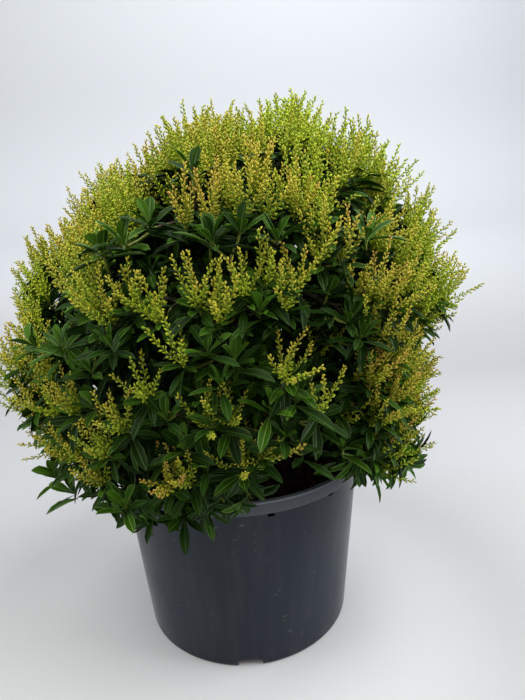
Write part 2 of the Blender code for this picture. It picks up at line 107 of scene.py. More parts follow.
# shader sockets that take part in expressions: each sign adds its Math node
class Sock:
    def __init__(self, finish, socket):
        self.finish, self.socket = finish, socket

    def maths(self, operation, first, second):
        return self.finish.node("ShaderNodeMath", {"operation": operation}, {0: first, 1: second})

    def __add__(self, other):
        return self.maths("ADD", self, other)

    __radd__ = __add__

    def __sub__(self, other):
        return self.maths("SUBTRACT", self, other)

    def __rsub__(self, other):
        return self.maths("SUBTRACT", other, self)

    def __mul__(self, other):
        return self.maths("MULTIPLY", self, other)

    __rmul__ = __mul__

    def __lt__(self, other):
        return self.maths("LESS_THAN", self, other)


class Finish:
    # one material; node() is the only way in which a node is added
    def __init__(self, name, colour, roughness, constants=()):
        self.material = bpy.data.materials.new(name)
        self.material.use_nodes = True
        self.tree = self.material.node_tree
        self.shader = self.tree.nodes["Principled BSDF"]
        self.feed(self.shader.inputs["Base Color"], (*colour, 1))
        self.feed(self.shader.inputs["Roughness"], roughness)
        for socket, value in dict(constants).items():
            self.feed(self.shader.inputs[socket], value)

    def feed(self, socket, value):
        if isinstance(value, Sock):
            self.tree.links.new(value.socket, socket)
        else:
            socket.default_value = value

    def node(self, kind, settings=(), sockets=(), out=0):
        made = self.tree.nodes.new(kind)
        for name, value in dict(settings).items():
            setattr(made, name, value)
        for key, value in dict(sockets).items():
            self.feed(made.inputs[key], value)
        return Sock(self, made.outputs[out])

    def place(self):
        return self.node("ShaderNodeTexCoord", out="Object")

    def stretched(self, place, factors):
        return self.node("ShaderNodeVectorMath", {"operation": "MULTIPLY"}, {0: place, 1: factors})

    def grain(self, place, scale, detail=2.0, roughness=0.5):
        sockets = {"Vector": place, "Scale": scale, "Detail": detail, "Roughness": roughness}
        return self.node("ShaderNodeTexNoise", sockets=sockets)

    def ramp(self, share, low, high):  # 0 below low, 1 above high, smooth between them
        settings = {"interpolation_type": "SMOOTHSTEP"}
        return self.node("ShaderNodeMapRange", settings, {"Value": share, 1: low, 2: high})

    def tint(self, share, low, high):  # a colour between two, by a share
        low, high = (x if isinstance(x, Sock) else (*x, 1) for x in (low, high))
        return self.node("ShaderNodeMix", {"data_type": "RGBA"}, {0: share, 6: low, 7: high}, out=2)

    def layered(self, tone, layers):  # colours laid over a tone, each by its share
        for share, colour in layers:
            tone = self.tint(share, tone, colour)
        return tone

    def measure(self, place, axis):  # one coordinate of a place: 0 across, 1 in depth, 2 in height
        return self.node("ShaderNodeSeparateXYZ", sockets={0: place}, out=axis)

    def relief(self, height, strength, distance):
        sockets = {"Height": height, "Strength": strength, "Distance": distance}
        bump = self.node("ShaderNodeBump", sockets=sockets)
        self.feed(self.shader.inputs["Normal"], bump)

    def colour(self, value):
        self.feed(self.shader.inputs["Base Color"], value)

    def rough(self, value):
        self.feed(self.shader.inputs["Roughness"], value)


def potPlasticFinish():
    gloss = {"Specular IOR Level": 0.22, "Coat Weight": 0.10, "Sheen Weight": 0.42, "Sheen Roughness": 0.22}
    finish = Finish("potPlastic", (0.040, 0.050, 0.064), 0.4, gloss)
    place = finish.place()
    streaks = finish.grain(finish.stretched(place, (62, 62, 2.4)), 1, 3)
    blotches = finish.grain(place, 8, 4)
    dust = finish.ramp(finish.grain(place, 38, 7, 0.7), 0.56, 0.74)
    scratches = finish.grain(finish.stretched(place, (70, 70, 190)), 1, 2)
    scratched = finish.ramp(scratches, 0.70, 0.74) * finish.ramp(blotches, 0.50, 0.62)
    specks = finish.node("ShaderNodeTexVoronoi", sockets={"Vector": place, "Scale": 95.0})
    speckled = (specks < 0.11) * finish.ramp(finish.grain(place, 14, 3), 0.55, 0.62)
    height = finish.measure(place, 2)
    top = potSizes["height"]
    bandFoot = top - potSizes["rimBand"]
    band = finish.ramp(height, bandFoot - millimetre, bandFoot + millimetre / 2)
    # painted highlight: the top few millimetres of the rim are lightened to pale grey, as if light catches
    # the rim's edge
    edge = finish.ramp(height, top - 2.4 * millimetre, top - millimetre)
    base = finish.tint(finish.ramp(blotches, 0.3, 0.7), (0.0052, 0.0098, 0.0190), (0.0092, 0.0150, 0.0262))
    layers = (
        (finish.ramp(streaks, 0.4, 0.75) * 0.3, (0.036, 0.042, 0.050)),
        (band * 0.80, (0.076, 0.086, 0.102)),
        (edge * 0.85, (0.270, 0.290, 0.320)),
        (dust * 0.22, (0.09, 0.094, 0.098)),
        (scratched * 0.5, (0.13, 0.14, 0.15)),
        (speckled * 0.8, (0.11, 0.075, 0.045)),
    )
    finish.colour(finish.layered(base, layers))
    finish.rough(0.38 + 0.14 * finish.ramp(blotches, 0.35, 0.7) + 0.2 * dust + 0.1 * scratched)
    finish.relief(streaks * 0.6 + finish.grain(place, 420, 2) * 0.25 - scratched * 0.3, 0.25, 0.0006)
    return finish


def soilFinish():
    finish = Finish("barkSoil", (0.05, 0.026, 0.015), 0.95)
    place = finish.place()
    clods = finish.grain(place, 60, 8, 0.7)
    bits = finish.node("ShaderNodeTexVoronoi", sockets={"Vector": place, "Scale": 160.0})
    base = finish.tint(finish.ramp(clods, 0.35, 0.7), (0.080, 0.030, 0.019), (0.290, 0.085, 0.047))
    finish.colour(finish.tint(finish.ramp(bits, 0.25, 0.5), base, (0.110, 0.052, 0.033)))
    finish.relief(clods + bits * 0.4, 0.9, 0.002)
    return finish


def barkFinish():
    finish = Finish("bark", (0.12, 0.085, 0.055), 0.88)
    place = finish.place()
    fissures = finish.grain(finish.stretched(place, (1, 1, 0.22)), 210, 5, 0.65)
    patches = finish.grain(place, 45, 4)
    base = finish.tint(finish.ramp(patches, 0.35, 0.7), (0.105, 0.068, 0.040), (0.19, 0.145, 0.10))
    # the fissures are darkened: partly the bark's own darker cracks, partly painted shade in them
    finish.colour(finish.tint(finish.ramp(fissures, 0.5, 0.36), base, (0.030, 0.018, 0.011)))
    finish.relief(fissures, 0.7, 0.0012)
    return finish


# colours that have a place on the plant are plain, and dealt out leaf by leaf and bud by bud; darker leaf
# greens also stand for painted shade in recesses
plantColours = {  # colour, roughness, specular level
    "twigBrown": ((0.066, 0.048, 0.026), 0.75, 0.3),
    "twigGreen": ((0.230, 0.270, 0.040), 0.50, 0.3),
    "leafDeep": ((0.009, 0.026, 0.002), 0.46, 0.07),
    "leafDark": ((0.014, 0.042, 0.003), 0.45, 0.07),
    "leafMid": ((0.027, 0.078, 0.004), 0.45, 0.07),
    "leafFresh": ((0.060, 0.150, 0.009), 0.46, 0.07),
    "ribDeep": ((0.044, 0.092, 0.018), 0.45, 0.2),
    "ribFresh": ((0.120, 0.215, 0.036), 0.45, 0.2),
    "stalkGreen": ((0.280, 0.350, 0.035), 0.50, 0.25),
    "budLime": ((0.475, 0.570, 0.027), 0.50, 0.2),
    "budGreen": ((0.330, 0.430, 0.022), 0.50, 0.2),
    "budOlive": ((0.390, 0.395, 0.028), 0.50, 0.2),
    "budGold": ((0.510, 0.450, 0.036), 0.50, 0.2),
    "budAmber": ((0.520, 0.360, 0.050), 0.50, 0.2),
    "budRusset": ((0.480, 0.260, 0.062), 0.52, 0.2),
}


def plainFinishes():
    made = {}
    for name, (colour, rough, gloss) in plantColours.items():
        made[name] = Finish(name, colour, rough, {"Specular IOR Level": gloss}).material
    return made


# meshes
def meshOf(name, points, triangles, tints=None, smooth=True):
    mesh = bpy.data.meshes.new(name)
    mesh.vertices.add(len(points))
    mesh.vertices.foreach_set("co", np.ascontiguousarray(points, np.float32).ravel())
    mesh.loops.add(triangles.size)
    mesh.loops.foreach_set("vertex_index", np.ascontiguousarray(triangles, np.int32).ravel())
    mesh.polygons.add(len(triangles))
    mesh.polygons.foreach_set("loop_start", np.arange(0, triangles.size, 3, dtype=np.int32))
    if tints is not None:
        mesh.polygons.foreach_set("material_index", np.ascontiguousarray(tints, np.int32))
    mesh.update(calc_edges=True)
    if smooth:
        mesh.shade_smooth()
    return mesh


def meshFrom(form, name):
    mesh = bpy.data.meshes.new(name)
    form.to_mesh(mesh)
    form.free()
    return mesh


def inScene(name, data):
    made = bpy.data.objects.new(name, data)
    bpy.context.scene.collection.objects.link(made)
    return made


def addPiece(name, mesh, materials, nodes):
    piece = inScene(name, mesh)
    for material in materials:
        mesh.materials.append(material)
    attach(piece, "root")
    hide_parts(*nodes)
    return piece


def addParts(name, points, triangles, tints, tones, materials, nodes, most=190000):
    # one kind of foliage, in as many pieces as keep each under this many triangles
    pieces = math.ceil(len(triangles) / most)
    for number, part in enumerate(np.array_split(np.arange(len(triangles)), pieces)):
        used, corners = np.unique(triangles[part], return_inverse=True)
        mesh = meshOf(f"{name}_{number + 1}", points[used], corners.reshape(-1, 3), tints[part])
        addPiece(f"{name}_{number + 1}", mesh, [materials[tone] for tone in tones], nodes)
    print(f"{name}:", len(triangles), "triangles")


def tubesOf(centres, radii, sides):
    # open tubes along N paths of K points: corners and triangles, and the span that each triangle lies in
    count, rings = centres.shape[:2]
    along = unit(np.gradient(centres, axis=1))
    side, other = squareTo(along[:, :1])
    side = unit(side - along * (side * along).sum(-1, keepdims=True))
    other = np.cross(along, side)
    turns = np.arange(sides) * math.tau / sides
    spokes = around(turns[:, None], side[:, :, None], other[:, :, None])
    corners = centres[:, :, None] + radii[:, :, None, None] * spokes
    low = np.arange(sides)
    after = (low + 1) % sides
    ring = np.concatenate(
        (np.stack((low, after, sides + after), 1), np.stack((low, sides + after, sides + low), 1))
    )
    spans = np.arange(rings - 1) * sides
    starts = np.arange(count) * rings * sides
    triangles = ring + spans[:, None, None] + starts[:, None, None, None]
    spanOf = np.broadcast_to(np.arange(rings - 1)[None, :, None], triangles.shape[:3])
    return corners.reshape(-1, 3), triangles.reshape(-1, 3), spanOf.ravel()


# pot
potSizes = {
    "height": 0.256,
    "footRadius": 0.1495,
    "wallTopRadius": 0.1725,
    "rimRadius": 0.1775,
    "rimBand": 0.0165,
    "grooveHeight": 0.002,
    "grooveDepth": 0.0012,
    "wall": 0.003,
    "floor": 0.004,
    "footRound": 0.004,
    "lipRound": 0.0017,
    "sides": 160,
    "notchCount": 4,
    "notchFirst": -91.6,
    "notchSize": (0.018, 0.033, 0.014),
    "slotCount": 12,
    "slotFirst": -49.0,
    "slotSize": (0.012, 0.0085, 0.0045),
    "slotDrop": 0.0015,
}


def wallRadius(height):
    sizes = potSizes
    return blended(sizes["footRadius"], sizes["wallTopRadius"], height / sizes["height"])


def roundedCorner(radius, height, turnFrom, turnTo, bend, steps=5):
    # points of an arc about (radius, height), from one angle to another, in degrees
    turns = np.radians(np.linspace(turnFrom, turnTo, steps))
    return [(radius + bend * math.cos(turn), height + bend * math.sin(turn)) for turn in turns]


def potProfile():
    sizes = potSizes
    top, lip, rim = sizes["height"], sizes["lipRound"], sizes["rimRadius"]
    bandFoot = top - sizes["rimBand"]
    grooveFoot = bandFoot - sizes["grooveHeight"]
    inside = wallRadius(top) - sizes["wall"]
    innerWall = [(wallRadius(z) - sizes["wall"], z) for z in np.linspace(sizes["floor"], top - lip, 8)]
    profile = innerWall + roundedCorner(inside + lip, top - lip, 180, 90, lip)[1:]
    profile += roundedCorner(rim - lip, top - lip, 90, 0, lip)
    profile += roundedCorner(rim - lip, bandFoot + lip, 0, -90, lip)
    profile += [(wallRadius(bandFoot) - sizes["grooveDepth"], bandFoot)]
    profile += [(wallRadius(grooveFoot) - sizes["grooveDepth"], grooveFoot)]
    profile += [(wallRadius(z), z) for z in np.linspace(grooveFoot - sizes["grooveDepth"], 0.006, 14)]
    foot = sizes["footRound"]
    profile += roundedCorner(wallRadius(foot) - foot, foot, 0, -90, foot)
    return profile


def boxCutters(name, count, first, radius, height, size):
    form = bmesh.new()
    for step in range(count):
        turn = math.radians(first) + step * math.tau / count
        made = bmesh.ops.create_cube(form, size=1)
        place = Matrix.Translation((radius * math.cos(turn), radius * math.sin(turn), height))
        place = place @ Matrix.Rotation(turn, 4, "Z") @ Matrix.Diagonal((*size, 1))
        bmesh.ops.transform(form, matrix=place, verts=made["verts"])
    return inScene(name, meshFrom(form, name))


def makePot(finish):
    sizes = potSizes
    form = bmesh.new()
    corners = [form.verts.new((radius, 0, height)) for radius, height in potProfile()]
    edges = [form.edges.new(pair) for pair in zip(corners, corners[1:])]
    bmesh.ops.spin(
        form, geom=corners + edges, cent=(0, 0, 0), axis=(0, 0, 1), angle=math.tau, steps=sizes["sides"]
    )
    bmesh.ops.remove_doubles(form, verts=form.verts, dist=1e-5)
    bmesh.ops.holes_fill(form, edges=form.edges, sides=0)
    bmesh.ops.recalc_face_normals(form, faces=form.faces)
    mesh = meshFrom(form, "nurseryPot")
    pot = addPiece("nurseryPot", mesh, [finish.material], ["pot"])
    bandFoot = sizes["height"] - sizes["rimBand"] - sizes["grooveHeight"]
    slotHeight = bandFoot - sizes["slotDrop"] - sizes["slotSize"][2] / 2
    notchHeight = sizes["notchSize"][2] / 2 - millimetre
    notchOut = sizes["footRadius"] - sizes["footRound"]
    slotOut = wallRadius(slotHeight) - sizes["wall"] / 2
    bpy.context.view_layer.objects.active = pot
    for kind, out, height in (("notch", notchOut, notchHeight), ("slot", slotOut, slotHeight)):
        count, first, size = (sizes[f"{kind}{value}"] for value in ("Count", "First", "Size"))
        cutter = boxCutters(f"{kind}Cutter", count, first, out, height, size)
        cut = pot.modifiers.new(cutter.name, "BOOLEAN")
        cut.operation, cut.object = "DIFFERENCE", cutter
        bpy.ops.object.modifier_apply(modifier=cut.name)
        bpy.data.objects.remove(cutter)
    pot.data.shade_smooth()
    pot.data.set_sharp_from_angle(angle=math.radians(38))


# soil
soilSizes = {
    "top": 0.226,
    "gap": 0.0003,
    "chamfer": 0.020,
    "sides": 96,
    "rings": 34,
    "relief": 0.0035,
    "reliefScale": 70,
    "chips": 1500,
    "chipLength": (0.004, 0.015),
    "chipColours": (
        (0.120, 0.036, 0.022), (0.060, 0.020, 0.013), (0.160, 0.062, 0.036), (0.024, 0.012, 0.010)
    ),
    "seed": 5,
}


def soilHeight(x, y):
    place = Vector((x, y, 0)) * soilSizes["reliefScale"]
    bumps = noise.noise(place) + 0.5 * noise.noise(place * 2.7) - 0.6
    return soilSizes["top"] + soilSizes["relief"] * bumps


def makeSoil(finish):
    sizes = soilSizes
    inset = potSizes["wall"] + sizes["gap"]
    foot = potSizes["floor"] + sizes["gap"]
    edge = wallRadius(sizes["top"]) - inset - millimetre / 2
    count, total = sizes["sides"], sizes["rings"] + 2
    turns = np.arange(count) * math.tau / count
    circle = list(zip(np.cos(turns), np.sin(turns)))
    radii = np.linspace(edge / sizes["rings"], edge, sizes["rings"])
    surface = [(0, 0)] + [(radius * x, radius * y) for radius in radii for x, y in circle]
    points = [(x, y, soilHeight(x, y)) for x, y in surface]
    shoulder = foot + sizes["chamfer"]
    footRadius = wallRadius(foot) - inset - sizes["chamfer"]
    lowRings = ((wallRadius(shoulder) - inset, shoulder), (footRadius, foot))
    points += [(radius * x, radius * y, height) for radius, height in lowRings for x, y in circle]
    points.append((0, 0, foot))
    triangles = []
    for corner in range(count):
        after = (corner + 1) % count
        triangles.append((0, 1 + corner, 1 + after))
        for ring in range(total - 1):
            low, high = 1 + ring * count, 1 + (ring + 1) * count
            triangles.append((low + corner, high + corner, high + after))
            triangles.append((low + corner, high + after, low + after))
        last = 1 + (total - 1) * count
        triangles.append((last + corner, len(points) - 1, last + after))
    mesh = meshOf("soilBed", np.array(points), np.array(triangles))
    addPiece("soilBed", mesh, [finish.material], ["soil"])
    makeChips(edge)


def makeChips(edge):
    # flat flakes of bark lying on the soil
    sizes = soilSizes
    chance = np.random.default_rng(sizes["seed"])
    points, triangles, tints = [], [], []
    flake = np.array([(x, y, z) for z in (-1, 1) for x, y in ((-1, -0.7), (0.9, -1), (1, 0.6), (-0.6, 1))])
    faces = np.array(
        [(4, 5, 6), (4, 6, 7), (0, 2, 1), (0, 3, 2)]
        + [face for a, b in ((0, 1), (1, 2), (2, 3), (3, 0)) for face in ((a, b, b + 4), (a, b + 4, a + 4))]
    )
    for number in range(sizes["chips"]):
        out, turn = (edge - 0.006) * math.sqrt(chance.random()), chance.uniform(0, math.tau)
        x, y = out * math.cos(turn), out * math.sin(turn)
        length = chance.uniform(*sizes["chipLength"])
        shape = flake * (length / 2, length * chance.uniform(0.2, 0.4), length * chance.uniform(0.04, 0.1))
        shape *= chance.uniform(0.8, 1.2, shape.shape)
        tilt = Matrix.Rotation(chance.uniform(0, math.tau), 3, "Z")
        tilt = tilt @ Matrix.Rotation(chance.normal(0, 0.35), 3, "Y")
        tilt = tilt @ Matrix.Rotation(chance.normal(0, 0.3), 3, "X")
        height = soilHeight(x, y) + length * 0.08
        points.append(shape @ np.array(tilt).T + (x, y, height))
        triangles.append(faces + 8 * number)
        tints.append(np.full(len(faces), chance.integers(len(sizes["chipColours"]))))
    colours = enumerate(sizes["chipColours"])
    materials = [Finish(f"barkChip{number}", colour, 0.9).material for number, colour in colours]
    mesh = meshOf("barkChips", np.vstack(points), np.vstack(triangles), np.concatenate(tints), smooth=False)
    addPiece("barkChips", mesh, materials, [])


# trunk and boughs, by the same rule as their solids
trunkSizes = {
    "top": 0.330,
    "footRadius": 0.027,
    "radius": 0.0145,
    "tipRadius": 0.0115,
    "flareHeight": 0.012,
    "lean": (0.006, -0.004),
    "sides": 40,
    "rings": 44,
    "cap": 0.002,  # radius of the last ring, which rounds the tip
    "relief": 0.0011,
    "reliefScale": 140,
}
boughSizes = {
    "rootRadius": 0.0046,
    "tipRadius": 0.0036,
    "end": 0.125,
    "lift": 0.4,
    "lastBend": 0.40,
    "sides": 12,
    "rings": 26,
    "relief": 0.0004,
    "reliefScale": 260,
}
crownSizes = {
    "seed": 11,
    "centre": np.array((0.0, 0.0, 0.455)),
    "sideReach": 0.305,
    "topReach": 0.272,
    "skirtReach": 0.325,
    "skirtElevation": 35,
    "swellings": (  # azimuth, elevation and width in degrees, gain as a share
        (-22, 41, 22, 0.10), (-27, -12, 13, -0.07), (-50, -55, 15, -0.24), (-138, -36, 20, 0.06),
        (-28, -34, 14, 0.03), (-166, 50, 24, -0.18), (-161, 14, 16, -0.09), (100, 35, 24, 0.05),
        (60, 5, 22, -0.04), (140, -10, 20, 0.03),
    ),
    "tiers": (  # name, elevation, count, first azimuth, bough's height, its rise at the end, first bend
        ("skirt", -24, 7, -41, 0.244, -44, 0.42),
        ("middle", 15, 6, -24, 0.270, 6, 0.17),
        ("upper", 50, 5, -30, 0.298, 46, 0.07),
        ("top", 90, 1, 0, 0.330, 90, 0),
    ),
    "axisJitter": (4, 3),
}


def planMasses():
    sizes = crownSizes
    chance = np.random.default_rng(sizes["seed"])
    turnJitter, tiltJitter = sizes["axisJitter"]
    masses = []
    for tier, elevation, count, first, height, rise, firstBend in sizes["tiers"]:
        for step in range(count):
            turn = first + step * 360 / count + chance.uniform(-turnJitter, turnJitter)
            tilt = min(90, elevation + chance.uniform(-tiltJitter, tiltJitter))
            name = tier if count == 1 else f"{tier}_{step + 1}"
            mass = {"name": name, "axis": directionOf(turn, tilt), "height": height}
            masses.append({**mass, "rise": math.radians(rise), "firstBend": firstBend})
    return masses


def trunkCentre(height):
    sizes = trunkSizes
    share = (height - soilSizes["top"]) / (sizes["top"] - soilSizes["top"])
    return np.array((sizes["lean"][0] * share, sizes["lean"][1] * share, height))


def trunkRadius(height):
    sizes = trunkSizes
    rise = height - soilSizes["top"]
    taper = blended(sizes["radius"], sizes["tipRadius"], rise / (sizes["top"] - soilSizes["top"]))
    return taper + (sizes["footRadius"] - sizes["radius"]) * math.exp(-rise / sizes["flareHeight"])


def boughPath(mass):
    sizes, centre = boughSizes, crownSizes["centre"]
    if mass["height"] == trunkSizes["top"]:
        firstNormal = heading = upward
        start = trunkCentre(mass["height"])
        end = centre + upward * sizes["end"]
    else:
        firstNormal = unit(mass["axis"] * (1, 1, 0))
        heading = unit(mass["axis"] + sizes["lift"] * upward)
        low = mass["height"] - sizes["rootRadius"]
        start = trunkCentre(low) + firstNormal * (trunkRadius(low) - millimetre)
        start = start + upward * sizes["rootRadius"]
        end = centre + sizes["end"] * around(mass["rise"], firstNormal, upward)
    length = np.linalg.norm(end - start)
    firstBend = start + firstNormal * mass["firstBend"] * length
    lastBend = end - heading * sizes["lastBend"] * length
    return bezier(start, firstBend, lastBend, end, sizes["rings"]), heading


def barkRelief(points, centres, amount, scale):
    # ridges that run along the limb, cut by finer noise
    moved = []
    for point, centre in zip(points, centres):
        place = Vector(point) * scale
        ridge = noise.noise((place.x, place.y, place.z * 0.25)) + 0.5 * noise.noise(place * 2.3)
        out = point - centre
        moved.append(centre + out * (1 + amount * ridge / max(np.linalg.norm(out), 1e-4)))
    return np.array(moved)


def addLimbs(name, paths, radii, sizes, finish, nodes):
    sides = sizes["sides"]
    points, triangles, _ = tubesOf(paths, radii, sides)
    axes = np.repeat(paths.reshape(-1, 3), sides, axis=0)
    points = barkRelief(points, axes, sizes["relief"], sizes["reliefScale"])
    if len(paths) == 1:
        points[:sides, 2] = paths[0, 0, 2]  # the trunk's foot is flat
    addPiece(name, meshOf(name, points, triangles), [finish.material], nodes)


def makeLimbs(masses, finish):
    sizes = trunkSizes
    shares = np.linspace(0, 1, sizes["rings"]) ** 1.6
    heights = soilSizes["top"] + soilSizes["gap"] + (sizes["top"] - soilSizes["top"]) * shares
    centres = np.array([trunkCentre(height) for height in heights])
    radii = np.array([trunkRadius(height) for height in heights])
    centres = np.vstack((centres, centres[-1] + upward * millimetre))
    radii = np.append(radii, sizes["cap"])
    addLimbs("barkedTrunk", centres[None], radii[None], sizes, finish, ["trunk"])
    sizes = boughSizes
    for mass in masses:
        mass["path"], mass["heading"] = boughPath(mass)
        mass["root"] = mass["path"][-1]
    radii = np.linspace(sizes["rootRadius"], sizes["tipRadius"], sizes["rings"])
    radii = np.tile(radii, (len(masses), 1))
    paths = np.array([mass["path"] for mass in masses])
    names = [f"bough_{mass['name']}" for mass in masses]
    addLimbs("barkedBoughs", paths, radii, sizes, finish, names)


# crown: lobes of shoots within the reach of the solids
shootPlan = {
    "shell": 660,  # shoots over a whole sphere
    "inner": 720,
    "innerShare": (0.50, 0.86),  # where the inner shoots end, as shares of the reach
    "lowest": -60,  # elevation below which nothing grows
    "scatter": 0.05,
    "lobes": (  # azimuth, elevation and width in degrees, gain as a share of the reach
        (-104, 56, 17, 0.02), (-62, 54, 17, 0.05), (-29, 34, 13, -0.055), (-134, 30, 16, -0.085),
        (-162, 42, 11, -0.055), (-150, 60, 8, 0.04), (-122, 12, 14, 0.0), (-156, -12, 16, 0.07),
        (-136, -28, 14, -0.03), (-104, -26, 14, 0.0), (-90, 14, 13, 0.0), (-52, 12, 14, 0.02),
        (-22, 20, 12, -0.02), (-26, 2, 14, 0.05), (-26, -22, 15, -0.07), (-46, -18, 14, -0.03),
        (-40, -36, 12, 0.06), (-87, -5, 13, 0.02), (-93, -14, 12, 0.0), (-76, 34, 15, 0.0),
        (80, 82, 18, -0.01), (-125, 76, 9, 0.06), (-34, 68, 10, 0.03),
    ),
    "recesses": (  # azimuth, elevation and width in degrees, depth as a share of the reach
        (-64, 17, 7, 0.28), (-69, 9, 7, 0.26), (-70, 1, 7, 0.26), (-70, -7, 7, 0.28),
        (-68, -15, 8, 0.22), (-66, -24, 8, 0.12), (-105, -8, 8, 0.32), (-113, 1, 6, 0.28),
        (-84, 22, 5, 0.30), (-128, -12, 6, 0.03), (-88, 60, 9, 0.12), (-150, 8, 13, 0.06),
    ),
    # from azimuth, to azimuth, from elevation, to elevation: the next two lists stand for the shell there
    "placedFront": ((-119, -66, -38, 30), (-158, -119, -36, 8)),
    "bloomPlaces": (  # azimuth, elevation, sprays, their widest spread, how ripe
        (-94, 28, 6, 34, 0.60), (-100, 29, 5, 32, 0.58), (-86, 30, 6, 32, 0.55), (-79, 30, 6, 34, 0.58),
        (-72, 29, 6, 34, 0.60), (-66, 26, 5, 34, 0.56), (-92, 8, 8, 40, 0.52), (-87, 12, 6, 34, 0.55),
        (-97, 11, 6, 34, 0.50), (-106, 8, 6, 34, 0.50), (-112, 11, 6, 34, 0.50), (-117, 7, 7, 34, 0.52),
        (-101, -1, 4, 50, 0.36), (-110, -9, 5, 52, 0.46), (-78, 9, 7, 46, 0.46), (-82, 15, 4, 28, 0.44),
        (-75, 14, 5, 36, 0.50), (-68, 19, 7, 40, 0.60), (-62, 19, 5, 38, 0.60), (-79, -6, 8, 54, 0.64),
        (-71, -16, 3, 34, 0.70), (-92, -15, 6, 56, 0.60), (-117, -17, 7, 50, 0.56),
        (-97, -16, 5, 64, 0.46), (-108, -31, 8, 46, 0.60), (-103, -31, 4, 50, 0.58),
        (-90, -28, 6, 64, 0.50), (-128, -32, 8, 36, 0.58), (-85, -25, 4, 66, 0.68),
        (-157, -13, 7, 34, 0.56), (-150, -20, 7, 34, 0.56), (-143, -9, 7, 30, 0.50),
        (-132, -15, 8, 40, 0.56), (-148, -27, 6, 34, 0.50), (-140, -17, 6, 34, 0.54),
        (-124, -24, 7, 34, 0.54), (-136, -27, 8, 38, 0.56), (-151, -3, 7, 32, 0.52),
        (-50, -6, 7, 36, 0.62), (-40, -20, 8, 38, 0.62), (-33, -30, 8, 36, 0.58),
        (-24, -9, 6, 34, 0.52), (-55, -12, 7, 40, 0.62), (-54, -2, 6, 36, 0.62),
        (-28, -17, 7, 34, 0.54), (-43, 7, 7, 36, 0.58), (-46, -28, 7, 40, 0.66),
        (-36, -12, 7, 36, 0.56), (-48, -18, 7, 36, 0.64), (-158, -21, 7, 34, 0.54),
        (-42, 41, 7, 28, 0.46), (-46, 38, 7, 30, 0.50), (-53, 37, 7, 30, 0.52), (-49, 42, 6, 28, 0.44),
        (-44, -13, 7, 36, 0.60), (-39, -26, 8, 38, 0.60), (-52, -22, 6, 38, 0.66),
        (-33, -22, 7, 34, 0.56), (-51, -22, 8, 38, 0.62), (-40, -32, 8, 38, 0.58),
        (-48, -31, 8, 38, 0.66), (-36, -35, 8, 38, 0.60), (-33, -28, 8, 38, 0.56),
        (-50, -17, 8, 38, 0.62), (-34, -31, 8, 38, 0.56),
    ),
    "bloomFan": 0.38,  # the narrowest spread of their sprays, as a share of the widest
    "bloomBack": 0.050,  # how far inside the crown's reach these shoots end
    "leafyPlaces": (  # azimuth, elevation and depth inside the reach, of shoots that bear no bloom
        (-99, 43, 0.030), (-108, 29, 0.030), (-114, 25, 0.030), (-93, 24, 0.028), (-87, 26, 0.030),
        (-119, 23, 0.030), (-79, 24, 0.030), (-56, 23, 0.030), (-84, 10, 0.045), (-64, 6, 0.040),
        (-61, 2, 0.040), (-95, 3, 0.034), (-93, -4, 0.034), (-90, 0, 0.038), (-83, -11, 0.040),
        (-95, -12, 0.030), (-77, -10, 0.045), (-98, -8, 0.045), (-106, -13, 0.045), (-103, -20, 0.045),
        (-98, -24, 0.040), (-80, -18, 0.040), (-75, -23, 0.040), (-69, 5, 0.065), (-66, 12, 0.060),
        (-70, -20, 0.060), (-60, -29, 0.055), (-63, -17, 0.070), (-70, -8, 0.070), (-115, 4, 0.030),
        (-129, 3, 0.030), (-142, 1, 0.030), (-124, -3, 0.045), (-134, 0, 0.045), (-148, -32, 0.030),
        (-137, -32, 0.030), (-126, -12, 0.050), (-140, -22, 0.050), (-120, -33, 0.030),
    ),
    "leafyReach": 5.5,  # degrees about each of these, and so far below it, where no bloom hides it
    "leafyBelow": 4.5,
    "leafySunk": 0.10,  # how far leafy shoots stay back, as a share of the reach
    "leafyLift": 2.4,
    "restLobes": 46,  # over a whole sphere, kept where no lobe above is near
    "restWidth": 17,
    "restApart": 27,
    "dip": 0.10,  # how far the crown falls away between lobes, as a share of its reach
    "pull": 0.20,  # towards the lobe's middle
    "lift": 1.6,  # how strongly shoots turn upward, and how strongly from the height of lowRise down
    "lowLift": 1.1,
    "mostNear": 0.40,  # the most that places of one kind add up to
    "leaning": ((-8, 18, 42, 0.40),),  # azimuth, elevation, width, how much less the sprays rise there
    "leafBack": 0.034,  # the least that a whorl stays inside the reach
    "lowRise": -0.60,
    "fringes": (  # shoots that hang over the rim, all round: how many, how far out, how high
        (46, 0.190, 0.222, 0.264, 0.298),
        (44, 0.232, 0.262, 0.286, 0.316),
    ),
    "fringeFront": (-168, -20),  # azimuths between which these places take over from the first row
    "fringePlaces": (  # azimuth, how far out, how high, the azimuth of the shoot's heading
        (-165, 0.250, 0.292, -178), (-143, 0.222, 0.290, -148), (-134, 0.224, 0.290, -142),
        (-127, 0.236, 0.290, -130), (-122, 0.232, 0.296, -118), (-124, 0.211, 0.280, -140),
        (-117, 0.204, 0.279, -135), (-112, 0.198, 0.282, -130), (-103, 0.206, 0.268, -108),
        (-96, 0.207, 0.278, -95), (-91, 0.192, 0.286, -78), (-87, 0.196, 0.273, -66),
        (-53, 0.228, 0.304, -78), (-44, 0.206, 0.284, -78), (-39, 0.226, 0.292, -66),
        (-36, 0.250, 0.280, -55), (-31, 0.254, 0.280, -40),
    ),
    "fringeRise": (-0.35, 0.05),
    "fringeInset": (0.82, 0.025),  # the second row there: its share of how far out, and how much higher
    "fringeGap": (-64, 15),  # azimuth and half width of the place where the soil shows
    "gapRise": -0.55,  # shoots that point lower than this leave that place open
    "jitter": 0.010,
    "potClearance": 0.012,  # no shoot ends nearer to the pot
    "lowestTip": 0.244,  # or lower than this
    "seed": 21,
}


